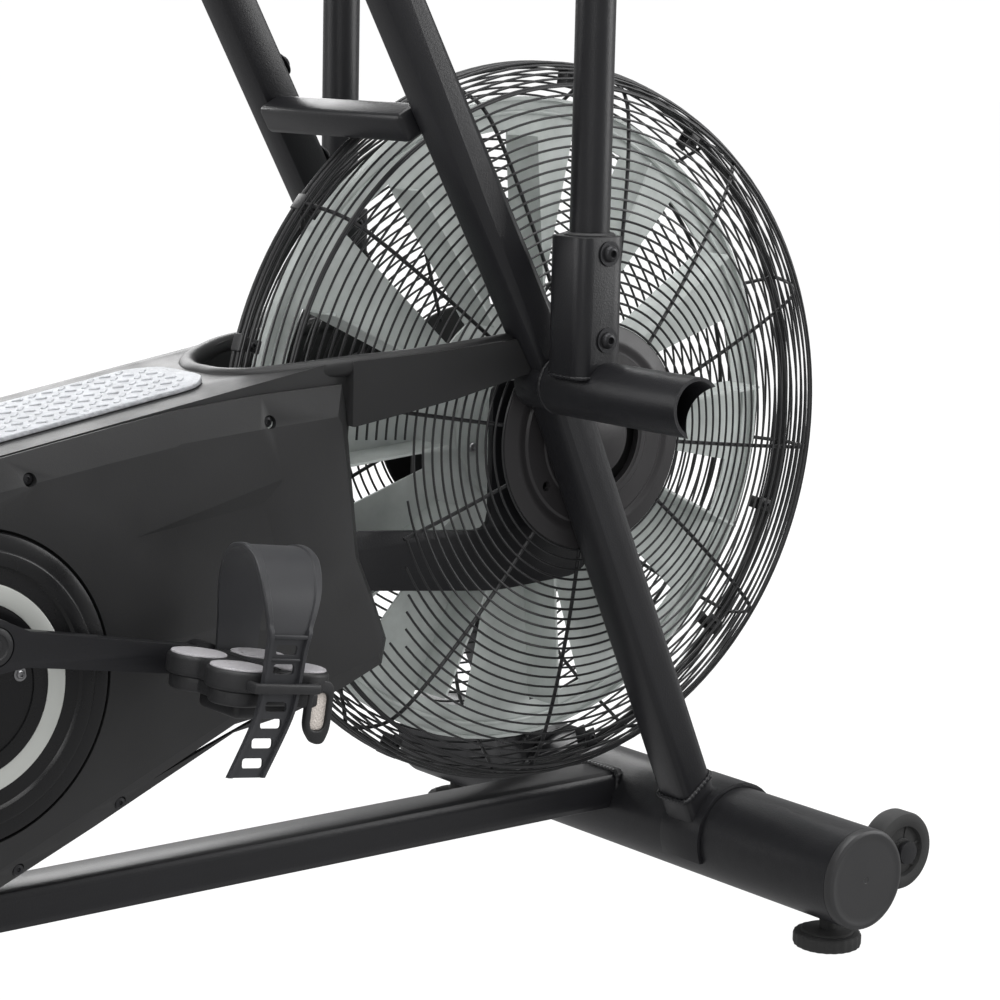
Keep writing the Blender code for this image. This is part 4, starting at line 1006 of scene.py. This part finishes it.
def crank_details(s):
    side = SIDES[s]
    cap = [(0.0, 0.0), (0.0142, 0.0), (0.0142, 0.0016), (0.0128, 0.0026), (0.0100, 0.0028), (0.0090, 0.0020),
           (0.0060, 0.0018), (0.0052, 0.0026), (0.0, 0.0028)]
    keep(lathe(cap, (CRANK[0], s * 0.1338, CRANK[1]), (0, s, 0), 56), "crank_cap_" + side, "crank",
         "plastic_black", "moulded")
    x, z = PEDALS[s]
    ring = [(0.0062, 0.0), (0.0078, 0.0), (0.0080, 0.0008), (0.0080, 0.0046), (0.0074, 0.0052),
            (0.0062, 0.0052)]
    keep(lathe(ring, (x, s * 0.1362, z), (0, s, 0), 6, ring=True), "pedal_flange_" + side, "crank", "steel",
         "zinc")
    end = [(0.0, 0.0), (0.0070, 0.0), (0.0070, 0.0008), (0.0052, 0.0014), (0.0, 0.0014)]
    keep(lathe(end, (x, s * 0.1200, z), (0, -s, 0), 32), "pedal_thread_" + side, "crank", "steel", "zinc")


def pedal_space(obj, s):
    """Turns a piece made round the pedal's own centre into place."""
    x, z = PEDALS[s]
    place = Matrix.Translation((x + SHIFT, s * PEDAL_MID, z)) @ Matrix.Rotation(
        math.radians(PEDAL_TILT), 4, "Y") @ Matrix.Translation((-SHIFT, 0.0, 0.0))
    obj.data.transform(place)
    return obj


LOBE = (0.0258, 0.0262)


def lobed(radius, half_x, half_y, count=112):
    """The pedal's plan: four round lobes joined by a block whose edges make the waists."""
    points = []
    for k in range(count):
        a = 2 * math.pi * (k + 0.5) / count
        d = Vector((math.cos(a), math.sin(a)))
        reach = min(half_x / abs(d.x), half_y / abs(d.y))
        for cx in (-LOBE[0], LOBE[0]):
            for cy in (-LOBE[1], LOBE[1]):
                along = d.x * cx + d.y * cy
                root = radius * radius - (cx * cx + cy * cy - along * along)
                if root > 0 and along > 0:
                    reach = max(reach, along + math.sqrt(root))
        points.append((d.x * reach, d.y * reach))
    return points


def build_pedal(s):
    side = SIDES[s]
    body = "pedal_" + side[0]

    def bored(obj):
        return carve(obj, [rod((0.0, -s * 0.060, 0.0), (0.0, s * 0.0425, 0.0), 0.0064, 32)])

    def placed_part(parts, name, slot, mat, *more, **options):
        obj = joined(parts) if isinstance(parts, list) else parts
        keep(pedal_space(obj, s), f"{name}_{side}", body, slot, mat, *more, **options)

    rim = bored(flat([lobed(0.0230, 0.0385, 0.0430)], -0.0040, 0.0115, 0.0034, 4, "xy"))
    under = bored(flat([lobed(0.0195, 0.0345, 0.0395)], -0.0150, -0.0030, 0.0030, 3, "xy"))
    spine = bored(rod((0.0, -0.0440, 0.0), (0.0, 0.0440, 0.0), 0.0105, 40))
    weight = box((0.046, 0.052, 0.014), (0.0, 0.0, -0.0205), bevel=0.0050, segments=4)
    ribs = [box((0.0016, 0.074, 0.0012), (x, 0.0, 0.0118), bevel=0.0004, segments=1)
            for x in (-0.0032, 0.0, 0.0032)]
    placed_part([rim, under, spine, weight] + ribs, "pedal_body", "plastic_black", "moulded",
                ["pedal_" + side], degrees=30)
    pads = [flat([circle(px * LOBE[0], py * LOBE[1], 0.0206, 48)], 0.0105, 0.0126, 0.0008, 2, "xy")
            for px in (-1, 1) for py in (-1, 1)]
    placed_part(pads, "pedal_pads", "button_grey", "pad", degrees=30)
    build_strap(s)
    buckle = [box((0.0560, 0.0045, 0.0075), (-0.004, s * 0.0590, 0.0020), bevel=0.0018)]
    buckle += [box((0.0048, 0.0150, 0.0075), (x, s * 0.0535, 0.0020), bevel=0.0014)
               for x in (-0.0300, 0.0215)]
    placed_part(buckle, "strap_buckle", "plastic_black", "moulded")
    tab_ring = rounded([(0.0240, 0.0060), (0.0240, -0.0300), (0.0330, -0.0410), (0.0420, -0.0410),
                        (0.0465, -0.0300), (0.0465, 0.0060)], 0.0100, 6)
    hole_ring = rounded([(0.0285, -0.0030), (0.0285, -0.0310), (0.0420, -0.0310), (0.0420, -0.0030)],
                        0.0064, 6)
    tab = flat([tab_ring, hole_ring], s * 0.0405, s * 0.0465, 0.0012, 2)
    placed_part(tab, "pedal_tab", "plastic_black", "moulded")
    lens = flat([hole_ring], s * 0.0415, s * 0.0440, 0.0006, 1)
    placed_part(lens, "pedal_reflector", "button_grey", "lens")


def build_strap(s):
    """A moulded strap: a flared loop over the foot that narrows to a slotted tail with raised rails."""
    gap = 0.0520
    path = [(-gap, 0.0088, 0.036, 0.024), (-gap, 0.034, 0.038, 0.023), (-gap * 0.86, 0.066, 0.046, 0.019),
            (-gap * 0.50, 0.088, 0.053, 0.014), (0.0, 0.095, 0.056, 0.009), (gap * 0.50, 0.089, 0.056, 0.004),
            (gap * 0.86, 0.068, 0.050, -0.001), (gap, 0.042, 0.037, -0.004), (gap, 0.028, 0.034, -0.005),
            (gap, 0.006, 0.033, -0.006), (gap + 0.001, -0.020, 0.032, -0.010),
            (gap + 0.005, -0.062, 0.031, -0.030)]
    line = smooth_path([(a, b, w) for a, b, w, _ in path], 8)
    leans = smooth_path([(a, b, lean) for a, b, _, lean in path], 8)
    cross = [(-0.5, 1.0), (-0.48, 1.6), (-0.40, 1.6), (-0.38, 0.8), (0.38, 0.8), (0.40, 1.6), (0.48, 1.6),
             (0.5, 1.0), (0.5, -0.9), (0.25, -1.0), (0.0, -1.0), (-0.25, -1.0), (-0.5, -0.9)]
    verts, faces = [], []
    total = len(cross)
    for i, p in enumerate(line):
        ahead = line[min(i + 1, len(line) - 1)]
        back = line[max(i - 1, 0)]
        along = Vector((ahead.x - back.x, ahead.y - back.y)).normalized()
        out = Vector((-along.y, along.x))
        rail = 0.0013 if p.y < 0.044 and p.x > 0 else 0.0
        for w, h in cross:
            q = Vector((p.x, p.y)) + out * (h * 0.0014 + (rail if h > 0.9 else 0.0))
            verts.append((w * p.z + leans[i].z, s * q.x, q.y))
        if i:
            bridge(faces, (i - 1) * total, i * total, total)
    faces.append(tuple(range(total))[::-1])
    faces.append(tuple(range((len(line) - 1) * total, len(line) * total)))
    strap = from_data(verts, faces)
    cutters = []
    for z, lean in ((0.0290, -0.005), (0.0150, -0.0055), (-0.0120, -0.0085), (-0.0240, -0.0117),
                    (-0.0380, -0.0178), (-0.0520, -0.0248)):
        cutters.append(box((0.0180, 0.022, 0.0074), (lean, s * (gap + 0.001), z), bevel=0.0022))
    carve(strap, cutters)
    keep(pedal_space(strap, s), "strap_loop_" + SIDES[s], "pedal_" + SIDES[s][0], "rubber", "strap",
         ["pedal_strap_" + SIDES[s]], degrees=30)
    ridge = [box((0.0350, 0.0024, 0.0030), (-0.0045, s * (gap + 0.0026), 0.0385), bevel=0.0010),
             box((0.0250, 0.0024, 0.0020), (-0.0060, s * (gap + 0.0022), 0.0220), bevel=0.0008)]
    keep(pedal_space(joined(ridge), s), "strap_ridges_" + SIDES[s], "pedal_" + SIDES[s][0], "rubber", "strap")


for s in (-1, 1):
    crank_details(s)
    build_pedal(s)


# ---- seat: post collar, knobs, saddle ----
def seat_axis(along, forward=0.0):
    lean = math.radians(SEAT_LEAN)
    return (-0.660 - along * math.sin(lean) + forward * math.cos(lean),
            0.102 + along * math.cos(lean) + forward * math.sin(lean))


def knob(name, centre, axis, body, replaced, neck):
    profile = [(0.0, 0.0400), (0.0100, 0.0399), (0.0150, 0.0388), (0.0178, 0.0368), (0.0188, 0.0340),
               (0.0190, 0.0300), (0.0190, 0.0205), (0.0184, 0.0180), (0.0150, 0.0160), (0.0115, 0.0130),
               (neck, 0.0110), (neck, 0.0010), (0.0050, 0.0010), (0.0050, -0.0036), (0.0, -0.0036)]
    if replaced == "saddle_clamp_knob":
        profile = profile[:-3] + [(0.0, 0.0006)]
    obj = lathe(profile, centre, axis, 96, lobes=8, lobe=-0.045, reach=0.0145)
    keep(obj, name, body, "plastic_black", "moulded", [replaced], degrees=40)


def build_seat_details():
    base = seat_axis(0.465, -0.0250)
    lean = math.radians(SEAT_LEAN)
    out = Vector((-math.cos(lean), 0.0, -math.sin(lean)))
    knob("post_knob", (base[0], 0.0, base[1]), out, "pin", "post_pin_knob", 0.0100)
    top = seat_axis(0.760)
    rail_x, rail_z = top[0] - 0.005, top[1] + 0.006
    knob("clamp_knob", (rail_x, -0.0250, rail_z), (0, -1, 0), "clamp", "saddle_clamp_knob", 0.0100)
    mouth = seat_axis(0.5205)
    ring = rounded([(0.0272, 0.0222), (-0.0272, 0.0222), (-0.0272, -0.0222), (0.0272, -0.0222)], 0.006, 5)
    hole = rounded([(0.0203, 0.0153), (-0.0203, 0.0153), (-0.0203, -0.0153), (0.0203, -0.0153)], 0.003, 5)
    collar = flat([ring, hole], -0.016, 0.0045, 0.0014, 2, "xy")
    inner = box((0.0506, 0.0406, 0.0300), (0.0, 0.0, -0.0152), bevel=0.0050)
    carve(collar, [inner])
    place = Matrix.Translation((mouth[0] + SHIFT, 0.0, mouth[1])) @ Matrix.Rotation(
        -lean, 4, "Y") @ Matrix.Translation((-SHIFT, 0.0, 0.0))
    collar.data.transform(place)
    keep(collar, "seat_collar", "frame", "plastic_black", "moulded")
    dot = [(0.0, 0.0), (0.0042, 0.0), (0.0042, 0.0002), (0.0, 0.0002)]
    for i, along in enumerate((0.560, 0.590, 0.620, 0.650, 0.680, 0.710)):
        spot = seat_axis(along)
        for s in (-1, 1):
            keep(lathe(dot, (spot[0], s * 0.0150, spot[1]), (0, s, 0), 24), f"post_dimple_{SIDES[s]}_{i}",
                 "post", "steel", "black_bolt")


build_seat_details()


def puff(obj, steps, pressure, cap, voxel):
    """Fills a closed shape out like a stuffed cover, no point moving further than cap."""
    mod = obj.modifiers.new("remesh", "REMESH")
    mod.mode = "VOXEL"
    mod.voxel_size = voxel
    baked(obj)
    before = [v.co.copy() for v in obj.data.vertices]
    mod = obj.modifiers.new("cloth", "CLOTH")
    mod.settings.use_pressure = True
    mod.settings.uniform_pressure_force = pressure
    mod.settings.effector_weights.gravity = 0.0
    mod.settings.quality = 6
    mod.point_cache.frame_start = 1
    mod.point_cache.frame_end = steps
    for step in range(1, steps + 1):
        SCENE.frame_set(step)
    baked(obj)
    SCENE.frame_set(1)
    for vert, old in zip(obj.data.vertices, before):
        move = vert.co - old
        if move.length > cap:
            vert.co = old + move * (cap / move.length)
    return obj


def build_saddle():
    """The saddle's cover stretched over its foam, on a moulded base."""
    source = NODES["saddle"]
    low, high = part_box("saddle")
    obj = placed("saddle_pad", source.data.copy())
    middle = (low + high) / 2
    for vert in obj.data.vertices:
        rel = vert.co - middle
        vert.co = middle + Vector((rel.x * 0.955, rel.y * 0.945, rel.z * 0.90 + 0.0022))
    weld = obj.modifiers.new("weld", "WELD")
    weld.merge_threshold = 0.0001
    baked(obj)
    puff(obj, 16, 3.0, 0.0060, 0.0055)
    mod = obj.modifiers.new("smooth", "SUBSURF")
    mod.levels = 1
    mod.render_levels = 1
    baked(obj)
    ceiling = high.z - 0.0004
    floor_z = low.z + 0.0060
    for vert in obj.data.vertices:
        x = vert.co.x - middle.x
        y = vert.co.y
        groove = math.exp(-(y / 0.0085) ** 2) * max(0.0, 1.0 - abs(x + 0.01) / 0.10)
        half = 0.062 if x < 0 else 0.062 - 0.26 * x
        seam = sum(math.exp(-((y - edge) / 0.0022) ** 2) for edge in (half, -half))
        if vert.co.z > middle.z:
            vert.co.z -= 0.0045 * groove + 0.0011 * min(1.0, seam)
        vert.co.x = min(max(vert.co.x, low.x + 0.0005), high.x - 0.0005)
        vert.co.y = min(max(vert.co.y, low.y + 0.0005), high.y - 0.0005)
        vert.co.z = min(max(vert.co.z, floor_z), ceiling)
    keep(obj, "saddle_pad", "seat", "saddle_skin", "skin", ["saddle"], degrees=60)
    base = placed("saddle_base", source.data.copy())
    for vert in base.data.vertices:
        rel = vert.co - middle
        z = low.z + 0.0002 + (vert.co.z - low.z) * 0.16
        vert.co = Vector((middle.x + rel.x * 0.955, rel.y * 0.93, z))
    baked(base)
    keep(base, "saddle_base", "seat", "plastic_black", "moulded", degrees=40)


build_saddle()


# ---- console ----
def console_point(forward, across, out):
    tilt = math.radians(CONSOLE_TILT)
    return (-0.352 + forward * math.cos(tilt) - out * math.sin(tilt), across,
            1.020 + forward * math.sin(tilt) + out * math.cos(tilt))


def console_box(size, spot, bevel):
    return box(size, console_point(*spot), (0, -CONSOLE_TILT, 0), bevel)


def build_console():
    lift = 0.0442
    bezel = [console_box((0.0030, 0.1580, 0.0022), (x, 0.0, lift), 0.0006) for x in (0.0675, -0.0075)]
    bezel += [console_box((0.0780, 0.0030, 0.0022), (0.0300, y, lift), 0.0006) for y in (0.0775, -0.0775)]
    keep(joined(bezel), "console_bezel", "console_head", "plastic_black", "gloss")
    bars = []
    for count, fx, height in ((6, 0.0560, 0.0110), (6, 0.0360, 0.0110), (4, 0.0140, 0.0150)):
        for k in range(count):
            y = -0.060 + 0.120 * k / (count - 1)
            for dx in (-0.5, 0.0, 0.5):
                bars.append(console_box((0.0010, 0.0070, 0.0003), (fx + dx * height, y, 0.0441), 0.0))
            for dx in (-0.25, 0.25):
                for dy in (-0.0042, 0.0042):
                    spot = (fx + dx * height, y + dy, 0.0441)
                    bars.append(console_box((height * 0.42, 0.0010, 0.0003), spot, 0.0))
    keep(joined(bars), "console_digits", "console_head", "display", "segment")
    for key, y in (("left", 0.060), ("centre", 0.0), ("right", -0.060)):
        mark = [console_box((0.0012, 0.0100, 0.0004), (-0.033, y, 0.0467), 0.0)]
        if key == "centre":
            mark.append(console_box((0.0100, 0.0012, 0.0004), (-0.033, y, 0.0467), 0.0))
        if key == "right":
            mark.append(console_box((0.0012, 0.0100, 0.0004), (-0.029, y, 0.0467), 0.0))
        keep(joined(mark), "key_mark_" + key, "key_" + key, "button_grey", "mark")
    tilt = math.radians(CONSOLE_TILT)
    for s in (-1, 1):
        for fx, level in ((-0.045, "low"), (0.065, "high")):
            dome_bolt(f"console_screw_{SIDES[s]}_{level}", console_point(fx, s * 0.080, 0.0139),
                      (math.sin(tilt), 0, -math.cos(tilt)), 0.0034, "console_head", washer=False)


build_console()


# ---- stage, light and camera ----
def paper(obj, name, base, glow, rough=0.5):
    """A stage surface that gives off its own light."""
    mat = bpy.data.materials.new(name)
    mat.use_nodes = True
    shader = mat.node_tree.nodes["Principled BSDF"]
    for key, value in (("Base Color", (base, base, base, 1.0)), ("Roughness", rough),
                       ("Specular IOR Level", 0.0), ("Emission Color", (1.0, 1.0, 1.0, 1.0)),
                       ("Emission Strength", glow)):
        shader.inputs[key].default_value = value
    obj.data.materials.append(mat)
    obj.visible_glossy = False


def build_stage():
    work = bmesh.new()
    bmesh.ops.create_grid(work, x_segments=2, y_segments=2, size=40.0)
    floor = to_object(work, "floor")
    floor.location.z = -0.0002
    paper(floor, "floor_paper", 0.10, 0.975, 0.9)
    wall = lathe([(38.0, -1.0), (38.0, 14.0)], (-SHIFT, 0.0, 0.0), (0, 0, 1), 64)
    wall.name = "backdrop"
    paper(wall, "backdrop_paper", 0.02, 1.0)
    wall.visible_diffuse = False
    wall.visible_shadow = False
    wall.visible_transmission = False


def area(name, place, target, size, power, size_y):
    data = bpy.data.lights.new(name, "AREA")
    data.shape = "RECTANGLE"
    data.size = size
    data.size_y = size_y
    data.energy = power
    obj = placed(name, data)
    obj.location = place
    obj.rotation_mode = "QUATERNION"
    obj.rotation_quaternion = (Vector(target) - Vector(place)).to_track_quat("-Z", "Y")


def build_lights():
    world = bpy.data.worlds.new("studio")
    SCENE.world = world
    world.use_nodes = True
    sky = world.node_tree.nodes["Background"]
    sky.inputs["Color"].default_value = (1.0, 1.0, 1.0, 1.0)
    sky.inputs["Strength"].default_value = 0.42
    aim = (0.1, 0.0, 0.4)
    area("light_top", (0.2, -0.3, 4.2), (0.1, 0.0, 0.0), 4.5, 250.0, 4.5)
    area("light_key", (-3.2, -3.4, 2.6), aim, 2.2, 62.0, 2.6)
    area("light_fill", (3.6, -2.4, 1.6), aim, 2.4, 95.0, 2.4)
    area("light_back", (1.2, 4.0, 2.4), aim, 3.4, 110.0, 2.4)
    area("light_rear", (-3.8, 2.2, 2.0), aim, 2.4, 70.0, 2.4)


def build_camera():
    """The photograph's viewpoint, from its own perspective."""
    yaw, pitch, roll = 0.8962, 0.1685, 0.0226
    place = (-1.1552, -1.8109, 0.7522)
    data = bpy.data.cameras.new("camera")
    data.lens = 98.283
    data.sensor_width = 36.0
    data.clip_end = 200.0
    obj = placed("camera", data)
    ahead = Vector((math.cos(pitch) * math.cos(yaw), math.cos(pitch) * math.sin(yaw), -math.sin(pitch)))
    right = Vector((math.sin(yaw), -math.cos(yaw), 0.0))
    up = right.cross(ahead)
    right2 = right * math.cos(roll) + up * math.sin(roll)
    up2 = up * math.cos(roll) - right * math.sin(roll)
    matrix = Matrix((right2, up2, -ahead)).transposed().to_4x4()
    matrix.translation = place
    obj.matrix_world = matrix
    SCENE.camera = obj


build_stage()
build_lights()
build_camera()
SCENE.view_settings.view_transform = "Standard"
